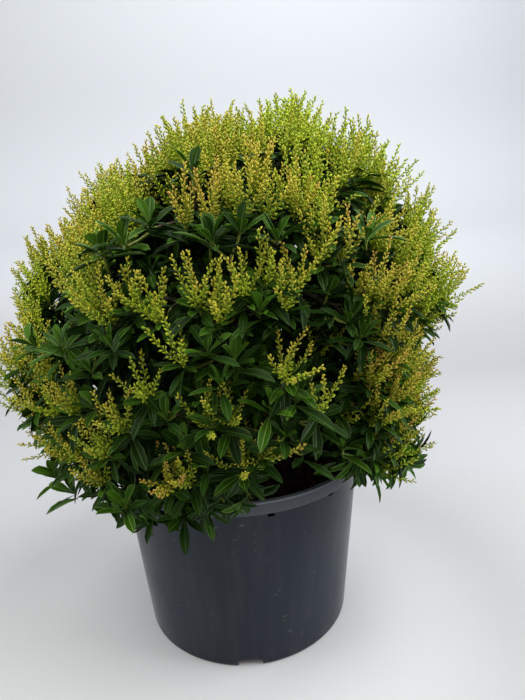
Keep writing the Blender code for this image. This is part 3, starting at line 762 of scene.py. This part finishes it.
def crownReach(directions):
    sizes = crownSizes
    rise = directions[..., 2]
    skirt = (rise / math.sin(math.radians(sizes["skirtElevation"]))) ** 2
    reach = np.where(
        rise > 0,
        blended(sizes["sideReach"], sizes["topReach"], rise**2),
        blended(sizes["sideReach"], sizes["skirtReach"], skirt),
    )
    return reach * (1 + patchSum(directions, sizes["swellings"]))


def sphereOf(count, chance, scatter):
    # directions spread evenly over a sphere, each moved a little
    number = np.arange(count)
    rise = np.degrees(np.arcsin(1 - (2 * number + 1) / count) + chance.uniform(-scatter, scatter, count))
    turn = np.degrees(number * goldenAngle + chance.uniform(-scatter, scatter, count))
    return directionOf(turn, rise)


def planLobes(chance):
    plan = shootPlan
    azimuths, elevations, widths, gains = map(list, zip(*plan["lobes"]))
    named = directionOf(azimuths, elevations)
    axes = list(named)
    for axis in sphereOf(plan["restLobes"], chance, plan["scatter"] * 2):
        if anglesTo(named, axis).min() > plan["restApart"]:
            axes.append(axis)
            widths.append(plan["restWidth"] * chance.uniform(0.85, 1.15))
            gains.append(chance.uniform(-0.03, 0.05))
    return np.array(axes), np.array(widths), np.array(gains)


def nearness(direction, patches):
    return min(patchSum(direction, patches), shootPlan["mostNear"])


def gainAt(direction, lobes):
    # how far the crown stands out here, as a share of its reach, and the lobe that it belongs to
    axes, widths, gains = lobes
    angles = anglesTo(axes, direction) / widths
    lobe = angles.argmin()
    gain = gains @ np.exp(-(angles**2)) - shootPlan["dip"] * min(1.5, angles[lobe]) ** 2
    return gain - nearness(direction, shootPlan["recesses"]), axes[lobe]


def shootAt(layer, direction, heading, tip, massAxes, leafy, sprays=None):
    low = layer == "fringe"
    sunk = 0 if low else nearness(direction, shootPlan["recesses"])
    shoot = {"layer": layer, "direction": direction, "heading": heading, "tip": tip, "low": low}
    shoot["mass"] = (massAxes @ direction).argmax()
    return {**shoot, "leafy": leafy, "sunk": sunk, "sprays": sprays}


def placedShoots(massAxes, chance):
    # the shoots of the front that have a place of their own
    plan = shootPlan
    places = [(*place[:2], plan["bloomBack"], plan["lift"], place[2:]) for place in plan["bloomPlaces"]]
    places += [(*place, plan["leafyLift"], None) for place in plan["leafyPlaces"]]
    shoots = []
    for azimuth, elevation, back, lift, sprays in places:
        direction = directionOf(azimuth, elevation)
        heading = unit(direction + lift * upward + 0.4 * (chance.random(3) - 0.5))
        tip = crownSizes["centre"] + direction * (crownReach(direction) - back)
        layer = "bloom" if sprays else "leafy"
        shoots.append(shootAt(layer, direction, heading, tip, massAxes, sprays is None, sprays))
    return shoots


def planShoots(masses):
    plan = shootPlan
    chance = np.random.default_rng(plan["seed"])
    lobes = planLobes(chance)
    gapTurn, gapWidth = plan["fringeGap"]
    massAxes = np.array([mass["axis"] for mass in masses])
    azimuths, elevations, _ = np.array(plan["leafyPlaces"]).T
    below = directionOf(azimuths, elevations - plan["leafyBelow"])
    shoots = []
    for layer, count in (("shell", plan["shell"]), ("inner", plan["inner"])):
        for direction in sphereOf(count, chance, plan["scatter"]):
            shares = chance.random(4)
            turn = math.degrees(math.atan2(direction[1], direction[0]))
            inGap = direction[2] < plan["gapRise"] and abs(turn - gapTurn) < gapWidth
            if inGap or math.degrees(math.asin(direction[2])) < plan["lowest"]:
                continue
            lobe = gainAt(direction, lobes)[1]
            direction = unit(direction + plan["pull"] * lobe)
            gain = gainAt(direction, lobes)[0]
            rise = math.degrees(math.asin(direction[2]))
            areas = plan["placedFront"]
            placed = any(left < turn < right and low < rise < high for left, right, low, high in areas)
            leafy = placed or anglesTo(below, direction).min() < plan["leafyReach"]
            leafy = leafy and layer == "shell"
            lift = np.interp(direction[2], (plan["lowRise"], 0), (plan["lowLift"], plan["lift"]))
            lift *= 1 - nearness(direction, plan["leaning"])
            heading = unit(direction + lift * upward + 0.5 * (shares[:3] - 0.5))
            reach = crownReach(direction) * (1 + gain)
            if leafy:
                reach *= 1 - plan["leafySunk"]
            back = max(plan["leafBack"], sprayPlan["length"][1] * 0.86 * (heading @ direction))
            out = reach - back + plan["jitter"] * (shares[3] - 0.7)
            if layer == "inner":
                out = reach * blended(*plan["innerShare"], shares[3])
            tip = crownSizes["centre"] + direction * out
            overPot = np.hypot(tip[0], tip[1]) < potSizes["rimRadius"] + plan["potClearance"]
            inPot = overPot and tip[2] < potSizes["height"] + plan["potClearance"]
            if inPot or tip[2] < plan["lowestTip"]:
                continue
            shoots.append(shootAt(layer, direction, heading, tip, massAxes, leafy))
    return shoots + placedShoots(massAxes, chance) + fringeShoots(massAxes, chance)


def fringeShoots(massAxes, chance):
    # shoots that lie over the pot's rim and hang their leaves down its wall
    plan = shootPlan
    gapTurn, gapWidth = plan["fringeGap"]
    places = list(plan["fringePlaces"])
    for row, (count, near, far, low, high) in enumerate(plan["fringes"]):
        for step in range(count):
            turn = -180 + step * 360 / count + chance.uniform(-3, 3)
            out, height = blended(near, far, chance.random()), blended(low, high, chance.random())
            front = plan["fringeFront"][0] < turn < plan["fringeFront"][1]
            if abs(turn - gapTurn) < gapWidth or (front and row == 0):
                continue
            if front:
                out, height = out * plan["fringeInset"][0], height + plan["fringeInset"][1]
            places.append((turn, out, height, turn))
    shoots = []
    for turn, out, height, towards in places:
        side = directionOf(turn, 0)
        tip = side * out + upward * height
        direction = unit(tip - crownSizes["centre"])
        heading = unit(directionOf(towards, 0) + upward * chance.uniform(*plan["fringeRise"]))
        shoots.append(shootAt("fringe", direction, heading, tip, massAxes, True))
    return shoots


# twigs
twigPlan = {
    "forkShare": 0.40,
    "radius": 0.0013,
    "rings": 5,
    "sides": 4,
    "bend": 0.36,
    "greenSpans": 3,  # the last spans of a shoot are green
}


def curvedPath(start, heading, end, endHeading, rings):
    length = np.linalg.norm(end - start) * twigPlan["bend"]
    return bezier(start, start + heading * length, end - endHeading * length, end, rings)


def grow(start, heading, shoots, twigs):
    # a stem towards the middle of these shoots, which forks between two halves of them
    plan = twigPlan
    if len(shoots) == 1:
        shoot = shoots[0]
        path = curvedPath(start, heading, shoot["tip"], shoot["heading"], plan["rings"])
        shoot["path"] = path
        radii = np.linspace(1.25, 1.0, plan["rings"]) * plan["radius"]
        twigs.append((path, radii, True))
        return
    tips = np.array([shoot["tip"] for shoot in shoots])
    middle = tips.mean(axis=0)
    split = start + plan["forkShare"] * (middle - start)
    ahead = unit(middle - start)
    thick = min(boughSizes["tipRadius"], plan["radius"] * math.sqrt(len(shoots)) * 0.9)
    halves = min(thick, plan["radius"] * math.sqrt(len(shoots) / 2) * 0.95)
    path = curvedPath(start, heading, split, ahead, plan["rings"])
    twigs.append((path, np.linspace(thick, max(halves, plan["radius"] * 1.2), plan["rings"]), False))
    spread = np.linalg.svd(tips - middle)[2][0]
    order = np.argsort((tips - middle) @ spread)
    half = len(shoots) // 2
    for part in (order[:half], order[half:]):
        grow(split, ahead, [shoots[index] for index in part], twigs)


def makeTwigs(masses, shoots, materials):
    twigs = []
    for number, mass in enumerate(masses):
        own = [shoot for shoot in shoots if shoot["mass"] == number]
        if own:
            grow(mass["root"], mass["heading"], own, twigs)
    paths = np.array([path for path, _, _ in twigs])
    radii = np.array([radius for _, radius, _ in twigs])
    last = np.array([final for _, _, final in twigs])
    points, triangles, spans = tubesOf(paths, radii, twigPlan["sides"])
    perTwig = len(triangles) // len(twigs)
    green = np.repeat(last, perTwig) & (spans >= twigPlan["rings"] - 1 - twigPlan["greenSpans"])
    mesh = meshOf("twigs", points, triangles, green.astype(int))
    names = [f"foliage_{mass['name']}" for mass in masses]
    addPiece("twigs", mesh, [materials["twigBrown"], materials["twigGreen"]], names)
    return names


# leaves
leafPlan = {
    "count": (8, 11),  # in a whorl
    "innerCount": 8,
    "stemLeaves": (0.72, 0.92),  # where along the twig a leaf stands below the whorl
    "length": (0.042, 0.025),  # outermost, innermost of a whorl
    "width": 0.250,  # as a share of the length
    "youngWidth": 0.40,
    "spread": (78, 20),
    "bloomSpread": (82, 52),  # where sprays stand in the middle of the whorl
    "rootStep": 0.012,
    "bend": (0.42, 0.15),
    "fold": 0.50,
    "uneven": (0.85, 1.15),  # how much lengths and widths vary
    "youngFrom": 0.6,  # from this level of the whorl up, most leaves are young
    "youngShare": 0.75,
    "lowestLeaf": 0.17,  # no leaf hangs lower than this
    "potGap": 0.002,  # between the leaves and the pot
    "droop": 0.08,
    "lowDroop": 0.32,
    "shares": (0, 0.24, 0.52, 0.78, 0.93, 1),  # along the leaf, with its half widths there
    "oldShape": (0.10, 0.55, 1.0, 0.82, 0.34, 0),
    "youngShape": (0.10, 0.46, 0.92, 0.94, 0.46, 0),
    "ribShape": (0.12, 0.10, 0.085, 0.07, 0.05, 0),
    "margin": 0.11,
    "sections": {  # where a leaf is cut across, and whether its pale margins are modelled
        "near": ((0.24, 0.52, 0.78, 0.93), True),
        "shell": ((0.24, 0.52, 0.78, 0.93), False),
        "inner": ((0.40, 0.80), False),
    },
    "tones": ("leafDeep", "leafDark", "leafMid", "leafFresh", "ribDeep", "ribFresh"),
    "toneSteps": (0.10, 0.40, 0.70),
    "seed": 31,
}


def leafPattern(lanes, cuts):
    # triangles of a leaf, and whether each is pale; its corners are two at the root, then a row
    # across each cut, then the tip
    middle, across = lanes // 2, lanes + 1
    paleLanes = [lane == middle or (lanes > 3 and lane in (0, lanes - 1)) for lane in range(lanes)]
    triangles, pale = [], []
    for lane in range(lanes):
        foot = 0 if lane <= middle else 1
        triangles.append((foot, 3 + lane, 2 + lane))
        pale.append(paleLanes[lane])
    triangles.append((0, 1, 3 + middle))
    pale.append(True)
    for cut in range(cuts - 1):
        for lane in range(lanes):
            low = 2 + cut * across + lane
            triangles += [(low, low + 1, low + across + 1), (low, low + across + 1, low + across)]
            pale += [paleLanes[lane]] * 2
    last = 2 + (cuts - 1) * across
    for lane in range(lanes):
        triangles.append((last + lane, last + lane + 1, last + across))
        pale.append(paleLanes[lane])
    return np.array(triangles), np.array(pale)


def leafCorners(leaves, cuts, margins):
    plan = leafPlan
    columns = [np.array(column) for column in zip(*leaves)]
    root, along, face = columns[:3]
    length, width, bend, young = (column[:, None] for column in columns[3:7])
    side = np.cross(along, face)
    shares = np.array((0, *cuts, 1))
    shapes = (plan[key] for key in ("oldShape", "youngShape", "ribShape"))
    old, fresh, ribs = (np.interp(shares, plan["shares"], shape) for shape in shapes)
    half = width / 2 * np.where(young, fresh, old)
    rib = width / 2 * ribs
    forward = length * (shares - bend**2 * shares**3 / 6)
    fallen = length * bend * shares**2 / 2
    centre = root[:, None] + forward[..., None] * along[:, None] - fallen[..., None] * face[:, None]
    angle = (bend * shares)[..., None]
    normal = face[:, None] * np.cos(angle) + along[:, None] * np.sin(angle)
    across = np.broadcast_to(side[:, None], centre.shape)

    def beside(reach, section):  # a corner this far from the rib's middle, on the folded blade
        reach = reach[:, section, None]
        folded = normal[:, section] * plan["fold"] * abs(reach)
        return centre[:, section] + across[:, section] * reach + folded

    def onRib(sign, section):
        return centre[:, section] + across[:, section] * sign * rib[:, section, None]

    corners = [onRib(-1, 0), onRib(1, 0)]
    for section in range(1, len(cuts) + 1):
        edge, inset = half, half * (1 - plan["margin"])
        left = [beside(-edge, section)] + ([beside(-inset, section)] if margins else [])
        right = ([beside(inset, section)] if margins else []) + [beside(edge, section)]
        corners += left + [onRib(-1, section), onRib(1, section)] + right
    corners.append(centre[:, -1])
    return np.stack(corners, axis=1)


def clearOfPot(points):
    # whether each run of points stays out of the pot's wall and rim
    out = np.hypot(points[..., 0], points[..., 1])
    low = points[..., 2] < potSizes["height"] + leafPlan["potGap"]
    return ~((out < potSizes["rimRadius"] + leafPlan["potGap"]) & low).any(axis=-1)


def whorlLeaves(shoot, chance):
    # each leaf as its root, direction, upper face, length, width, bend, whether it is young, and
    # brightness: freshness less painted shade in recesses
    plan = leafPlan
    heading, tip = shoot["heading"], shoot["tip"]
    side, other = squareTo(heading)
    inner = shoot["layer"] == "inner"
    count = plan["innerCount"] if inner else chance.integers(*plan["count"])
    first = chance.uniform(0, math.tau)
    fresh = shoot["fresh"]
    spreads = plan["bloomSpread"] if shoot["bloom"] > 0.3 else plan["spread"]
    leaves = []
    for step in range(count):
        level = 0.2 * chance.random() if shoot["low"] or inner else step / (count - 1)
        turn = first + step * goldenAngle + chance.uniform(-0.15, 0.15)
        out = around(turn, side, other)
        spread = math.radians(blended(*spreads, level) + chance.uniform(-10, 10))
        droop = (plan["lowDroop"] if shoot["low"] else plan["droop"]) * chance.uniform(0.6, 1.4)
        along = unit(heading * math.cos(spread) + out * math.sin(spread) - upward * droop * (1 - level))
        face = unit(heading - along * (along @ heading) + 0.12 * chance.normal(size=3))
        face = squared(face, along)
        young = level > plan["youngFrom"] and chance.random() < plan["youngShare"]
        length = blended(*plan["length"], level) * chance.uniform(*plan["uneven"])
        root = tip - heading * plan["rootStep"] * (1 - level) * chance.uniform(0.6, 1)
        width = length * plan["youngWidth" if young else "width"] * chance.uniform(*plan["uneven"])
        bend = blended(*plan["bend"], level) * chance.uniform(0.5, 1.3)
        # painted shade: leaves of shoots sunk in a recess get darker greens; level and freshness give their
        # real tone
        freshAndPaintedShade = level * 0.5 + fresh * 0.5 + chance.uniform(-0.25, 0.25) - shoot["sunk"]
        leaves.append((root, along, face, length, width, bend, young, freshAndPaintedShade))
    if shoot["layer"] == "leafy":
        return leaves
    for share in plan["stemLeaves"]:
        path = shoot["path"]
        place = share * (len(path) - 1)
        index = int(place)
        root = blended(path[index], path[index + 1], place - index)
        stem = unit(path[index + 1] - path[index])
        side, other = squareTo(stem)
        turn = chance.uniform(0, math.tau)
        out = around(turn, side, other)
        along = unit(stem * 0.35 + out - upward * 0.2)
        length = plan["length"][0] * chance.uniform(0.85, 1.1)
        width, bend = length * plan["width"], plan["bend"][0]
        freshAndPaintedShade = chance.uniform(-0.3, 0.2)
        leaves.append((root, along, squared(stem, along), length, width, bend, False, freshAndPaintedShade))
    return leaves


def makeLeaves(shoots, materials, nodes):
    plan = leafPlan
    chance = np.random.default_rng(plan["seed"])
    kinds = {"leafy": "near", "bloom": "near", "fringe": "near", "shell": "shell", "inner": "inner"}
    grown = {kind: [] for kind in plan["sections"]}
    for shoot in shoots:
        grown[kinds[shoot["layer"]]] += whorlLeaves(shoot, chance)
    points, triangles, tints, corner = [], [], [], 0
    for kind, (cuts, margins) in plan["sections"].items():
        corners = leafCorners(grown[kind], cuts, margins)
        kept = clearOfPot(corners) & (corners[..., 2].min(axis=1) > cadBox[0][2] + plan["lowestLeaf"])
        corners = corners[kept]
        freshAndPaintedShade = np.array([leaf[-1] for leaf in grown[kind]])[kept]
        # the darker greens carry painted shade in recesses as well as the leaves' freshness
        tone = np.digitize(freshAndPaintedShade, plan["toneSteps"])[:, None]
        pattern, pale = leafPattern(5 if margins else 3, len(cuts))
        starts = corner + np.arange(len(corners)) * corners.shape[1]
        points.append(corners.reshape(-1, 3))
        triangles.append((pattern + starts[:, None, None]).reshape(-1, 3))
        paleTone = np.where(tone > 1, plan["tones"].index("ribFresh"), plan["tones"].index("ribDeep"))
        tints.append(np.where(pale, paleTone, tone).ravel())
        corner += len(points[-1])
        print(kind, "leaves:", len(corners))
    joined = (np.vstack(points), np.vstack(triangles), np.concatenate(tints))
    addParts("leaves", *joined, plan["tones"], materials, nodes)


# sprays of buds
sprayPlan = {
    "most": 7,  # sprays on a shoot
    "length": (0.042, 0.070),
    "spread": (10, 38),
    "sparseSpread": (18, 60),
    "bend": (0.15, 0.6),
    "stalkRadius": 0.0006,
    "sideLength": 0.88,  # of the sprays round the middle one, as a share of its length
    "stalkTaper": (1.3, 1.0, 0.8, 0.4),
    "furthest": 1.03,  # how far a spray may reach, as a share of the crown's reach
    "budStep": 0.0019,
    "budStart": 0.08,
    "budLength": (0.0066, 0.0048),  # at the foot and the tip of a spray, with the bud's own stalk
    "budRadius": (0.00134, 0.00114),
    "budSpread": (50, 26),
    "budTaper": 2.2,  # how late along the spray these change
    "budWaist": 0.60,
    "bloomRise": ((-46, -37, -24, -8), (0.0, 0.55, 0.85, 1.0)),  # elevations and the bloom at each
    "sparse": (  # azimuth, elevation, width, how much of the bloom is missing there
        (-93, -16, 18, 0.45), (-76, -26, 13, 0.45), (-112, -20, 10, 0.25),
    ),
    "ripe": (  # azimuth, elevation, width, how much riper the buds are there
        (-112, 36, 12, 0.04), (-123, 14, 14, 0.05), (-46, -18, 18, 0.10), (-54, 16, 12, 0.20),
        (-80, 34, 12, 0.13), (-103, -24, 14, 0.16), (-40, 62, 30, -0.20), (-18, 24, 20, -0.12),
        (-134, 30, 14, -0.10), (-110, 66, 18, 0.06),
    ),
    "tipRipe": 0.44,  # how much riper the tip of a spray is than its foot
    "tints": ("budLime", "budGreen", "budOlive", "budGold", "budAmber", "budRusset"),
    "tintSteps": (0.36, 0.50, 0.62, 0.84, 1.02),
    "seed": 41,
}
budSides = 3  # corners round the waist of a bud, between its foot and its tip
budTriangles = np.array([(0, 2, 1), (0, 3, 2), (0, 1, 3), (4, 1, 2), (4, 2, 3), (4, 3, 1)])


def gradeShoots(shoots):
    # how many buds, how ripe they are and how fresh the leaves are, by place on the crown
    for shoot in shoots:
        direction = shoot["direction"]
        elevation = math.degrees(math.asin(np.clip(direction[2], -1, 1)))
        bloom = np.interp(elevation, *sprayPlan["bloomRise"])
        shoot["bloom"] = max(0, bloom - nearness(direction, sprayPlan["sparse"]))
        if shoot["layer"] != "shell" or shoot["leafy"] or shoot["sunk"] > 0.12:
            shoot["bloom"] = 1 if shoot["sprays"] else 0
        patchy = noise.noise(Vector(direction) * 2.6)
        shoot["ripe"] = 0.46 + 0.26 * patchy + nearness(direction, sprayPlan["ripe"])
        if shoot["sprays"]:
            shoot["ripe"] = shoot["sprays"][2]
        shoot["fresh"] = 0.5 + 0.5 * noise.noise(Vector(direction) * 4.1 + Vector((3, 1, 7)))


def planSprays(shoots, chance):
    plan = sprayPlan
    sprays = []
    for shoot in shoots:
        count = int(plan["most"] * shoot["bloom"] + chance.random())
        if not count:
            continue
        heading = shoot["heading"]
        side, other = squareTo(heading)
        first = chance.uniform(0, math.tau)
        ripe = shoot["ripe"] + chance.normal(0, 0.09)
        spreads = plan["spread"] if shoot["bloom"] > 0.6 else plan["sparseSpread"]
        if shoot["sprays"]:
            widest = shoot["sprays"][1]
            count, spreads = shoot["sprays"][0], (widest * shootPlan["bloomFan"], widest)
        for step in range(count):
            spread = 0 if step == 0 else chance.uniform(*spreads)
            turn = first + step * math.tau / max(1, count - 1) + chance.uniform(-0.3, 0.3)
            out = around(turn, side, other)
            spread = math.radians(spread)
            along = around(spread, heading, out)
            length = blended(*plan["length"], chance.random()) * (plan["sideLength"] if step else 1)
            length *= blended(0.72, 1, min(1, shoot["bloom"] * 1.3))
            root = shoot["tip"] + out * millimetre * 0.8
            end = root + along * length - crownSizes["centre"]
            over = np.linalg.norm(end) / crownReach(unit(end))
            length *= min(1, plan["furthest"] / over)
            curl = upward - along * (along @ upward) + 0.3 * chance.normal(size=3)
            spray = {"root": root, "along": along, "curl": squared(curl, along), "length": length}
            spray["bend"] = chance.uniform(*plan["bend"])
            spray["ripe"] = ripe + chance.normal(0, 0.05)
            spray["turn"] = chance.uniform(0, math.tau)
            sprays.append(spray)
    return sprays


def alongSpray(spray, share):
    # places on the curved stalk of each spray and its direction there
    bend = spray["bend"] * share
    forward = spray["length"] * share * (1 - bend**2 / 6)
    aside = spray["length"] * share * bend / 2
    place = spray["root"] + forward[:, None] * spray["along"] + aside[:, None] * spray["curl"]
    return place, around(bend[:, None], spray["along"], spray["curl"])


def makeSprays(shoots, materials, nodes):
    plan = sprayPlan
    chance = np.random.default_rng(plan["seed"])
    sprays = planSprays(shoots, chance)
    fields = {key: np.array([spray[key] for spray in sprays]) for key in sprays[0]}
    shares = (np.full(len(sprays), share) for share in (0, 0.33, 0.66, 1))
    rings = np.stack([alongSpray(fields, share)[0] for share in shares], 1)
    radii = np.tile(np.array(plan["stalkTaper"]) * plan["stalkRadius"], (len(sprays), 1))
    points, triangles, _ = tubesOf(rings, radii, 3)
    stalks = meshOf("sprayStalks", points, triangles)
    addPiece("sprayStalks", stalks, [materials["stalkGreen"]], nodes)

    counts = (fields["length"] / plan["budStep"]).astype(int)
    owner = np.repeat(np.arange(len(sprays)), counts)
    step = np.arange(len(owner)) - np.repeat(np.cumsum(counts) - counts, counts)
    share = (step + 0.5) / counts[owner]
    buds = {key: values[owner] for key, values in fields.items()}
    where, ahead = alongSpray(buds, blended(plan["budStart"], 1.0, share))
    side, other = squareTo(ahead)
    turn = buds["turn"] + step * goldenAngle + chance.normal(0, 0.25, len(owner))
    radial = around(turn[:, None], side, other)
    late = share ** plan["budTaper"]
    spread = np.radians(blended(*plan["budSpread"], late) + chance.normal(0, 7, len(owner)))[:, None]
    lean = around(spread, ahead, radial)
    across, upright = squareTo(lean)
    size = chance.uniform(0.85, 1.15, len(owner))
    length = (blended(*plan["budLength"], late) * size)[:, None]
    radius = (blended(*plan["budRadius"], late) * size)[:, None]
    waist = where + lean * length * plan["budWaist"]
    turns = np.arange(budSides) * math.tau / budSides
    ring = [waist + radius * around(turn, across, upright) for turn in turns]
    corners = np.stack([where, *ring, where + lean * length], axis=1)
    ripe = buds["ripe"] + plan["tipRipe"] * (share - 0.55) + chance.normal(0, 0.07, len(owner))
    tint = np.digitize(ripe, plan["tintSteps"])
    starts = np.arange(len(owner)) * corners.shape[1]
    triangles = (budTriangles + starts[:, None, None]).reshape(-1, 3)
    tints = np.repeat(tint, len(budTriangles))
    addParts("buds", corners.reshape(-1, 3), triangles, tints, plan["tints"], materials, nodes)
    print("sprays:", len(sprays), "buds:", len(owner))


# studio
studio = {
    "imageHeight": 700,
    "focal": 556,  # pixels
    "sensor": 36,  # mm, along the picture's height
    "pitch": -14.5,
    "roll": -2.9,
    "yaw": 3.05,
    "cameraPlace": (0, -0.765, 0.594),
    "floorSize": (5.0, 1.1, 2.6),  # half width, depth behind the pot before the sweep, height of the wall
    "floorBend": 0.5,
    "worldColour": (0.93, 0.95, 1.0),
    "worldStrength": 0.40,
    "lamps": (  # name, place, target, size, watts, colour
        ("keySoftbox", (-0.5, -0.8, 2.6), (0, 0, 0.4), 2.0, 44, (1.0, 0.98, 0.95)),
        ("topSoftbox", (0.4, 0.4, 2.5), (0, 0, 0.4), 2.0, 44, (1.0, 1.0, 1.0)),
        ("rightSoftbox", (1.5, -0.25, 1.0), (0, 0, 0.3), 1.2, 25, (0.95, 0.97, 1.0)),
        ("leftSoftbox", (-1.5, 0.0, 1.0), (0, 0, 0.3), 1.2, 11, (0.95, 0.97, 1.0)),
        ("wallSoftbox", (0.7, 0.7, 2.5), (0.7, 1.6, 1.4), 1.2, 9, (0.95, 0.97, 1.0)),
    ),
}


def makeFloor():
    # a floor that sweeps up into a wall behind the pot, its tone graded by place with painted light and
    # shade
    halfWidth, depth, height = studio["floorSize"]
    bend = studio["floorBend"]
    turns = np.linspace(0, math.pi / 2, 13)
    outline = [(-halfWidth, 0)] + [(depth + bend * math.sin(t), bend - bend * math.cos(t)) for t in turns]
    outline.append((depth + bend, height))
    points = [(x, y, z) for y, z in outline for x in (-halfWidth, halfWidth)]
    faces = [(i, i + 1, i + 3, i + 2) for i in range(0, len(points) - 2, 2)]
    mesh = bpy.data.meshes.new("studioFloor")
    mesh.from_pydata(points, [], faces)
    mesh.shade_smooth()
    floor = inScene("studioFloor", mesh)
    finish = Finish("paleFloor", (0.78, 0.79, 0.80), 0.7)
    place = finish.place()
    soft = finish.grain(place, 3, 4)
    right, behind, rise = (finish.measure(place, axis) for axis in range(3))
    flat = finish.stretched(place, (1, 1, 0))
    away = finish.node("ShaderNodeVectorMath", {"operation": "LENGTH"}, {0: flat}, out=1)
    tone = finish.tint(finish.ramp(soft, 0.35, 0.65), (0.50, 0.505, 0.50), (0.53, 0.535, 0.53))
    # painted light and shade on the backdrop: the sweep and wall are lighter than the floor, and darker
    # again from 0.6 m up
    wall = finish.tint(finish.ramp(rise, 0.6, 1.1), (0.585, 0.607, 0.635), (0.485, 0.503, 0.528))
    layers = (
        # painted shade: the floor is darker towards the right, against the right lamp's light
        (finish.ramp(right, 0.05, 0.45) * 0.9, (0.32, 0.325, 0.33)),
        # painted shade: the floor is darker behind the pot
        (finish.ramp(behind, -0.28, 0.16), (0.36, 0.362, 0.366)),
        # painted light: lighter close round the pot, filling the shadow that pot and crown cast
        ((1 - finish.ramp(away, 0.14, 0.42)) * 0.60, (0.80, 0.805, 0.80)),
        # painted light: a touch lighter where the floor runs into the sweep
        (finish.ramp(behind, 0.18, 0.40), (0.37, 0.376, 0.386)),
        # painted light: the far floor fades lighter towards the edges
        (finish.ramp(away, 1.3, 4.0), (0.80, 0.81, 0.83)),
        (finish.ramp(rise, 0.02, 0.45), wall),
    )
    finish.colour(finish.layered(tone, layers))
    mesh.materials.append(finish.material)


def makeStudio():
    plan = studio
    makeFloor()
    world = bpy.data.worlds.new("studioLight")
    world.use_nodes = True
    background = world.node_tree.nodes["Background"]
    background.inputs["Color"].default_value = (*plan["worldColour"], 1)
    background.inputs["Strength"].default_value = plan["worldStrength"]
    bpy.context.scene.world = world
    for name, place, target, size, watts, colour in plan["lamps"]:
        lamp = bpy.data.lights.new(name, "AREA")
        lamp.size, lamp.energy, lamp.color = size, watts, colour
        holder = inScene(name, lamp)
        holder.location = place
        towards = Vector(target) - Vector(place)
        holder.rotation_euler = towards.to_track_quat("-Z", "Y").to_euler()


def makeCamera():
    plan = studio
    pitch, yaw, roll = (math.radians(plan[key]) for key in ("pitch", "yaw", "roll"))
    ahead = Vector((math.sin(yaw) * math.cos(pitch), math.cos(yaw) * math.cos(pitch), math.sin(pitch)))
    right = Vector((math.cos(yaw), -math.sin(yaw), 0))
    up = right.cross(ahead)
    right, up = right * math.cos(roll) + up * math.sin(roll), up * math.cos(roll) - right * math.sin(roll)
    lens = bpy.data.cameras.new("photoView")
    lens.sensor_fit = "VERTICAL"
    lens.sensor_height = plan["sensor"]
    lens.lens = plan["focal"] * plan["sensor"] / plan["imageHeight"]
    camera = inScene("photoView", lens)
    camera.matrix_world = Matrix(
        [(right[i], up[i], -ahead[i], plan["cameraPlace"][i]) for i in range(3)] + [(0, 0, 0, 1)]
    )
    bpy.context.scene.camera = camera
    bpy.context.scene.view_settings.view_transform = "Standard"


makeCamera()
makeStudio()
print("studio done")
makePot(potPlasticFinish())
makeSoil(soilFinish())
print("pot and soil done")
masses = planMasses()
makeLimbs(masses, barkFinish())
print("trunk and boughs done")
plainMaterials = plainFinishes()
shoots = planShoots(masses)
gradeShoots(shoots)
foliageNodes = makeTwigs(masses, shoots, plainMaterials)
print("shoots:", len(shoots))
makeLeaves(shoots, plainMaterials, foliageNodes)
makeSprays(shoots, plainMaterials, foliageNodes)
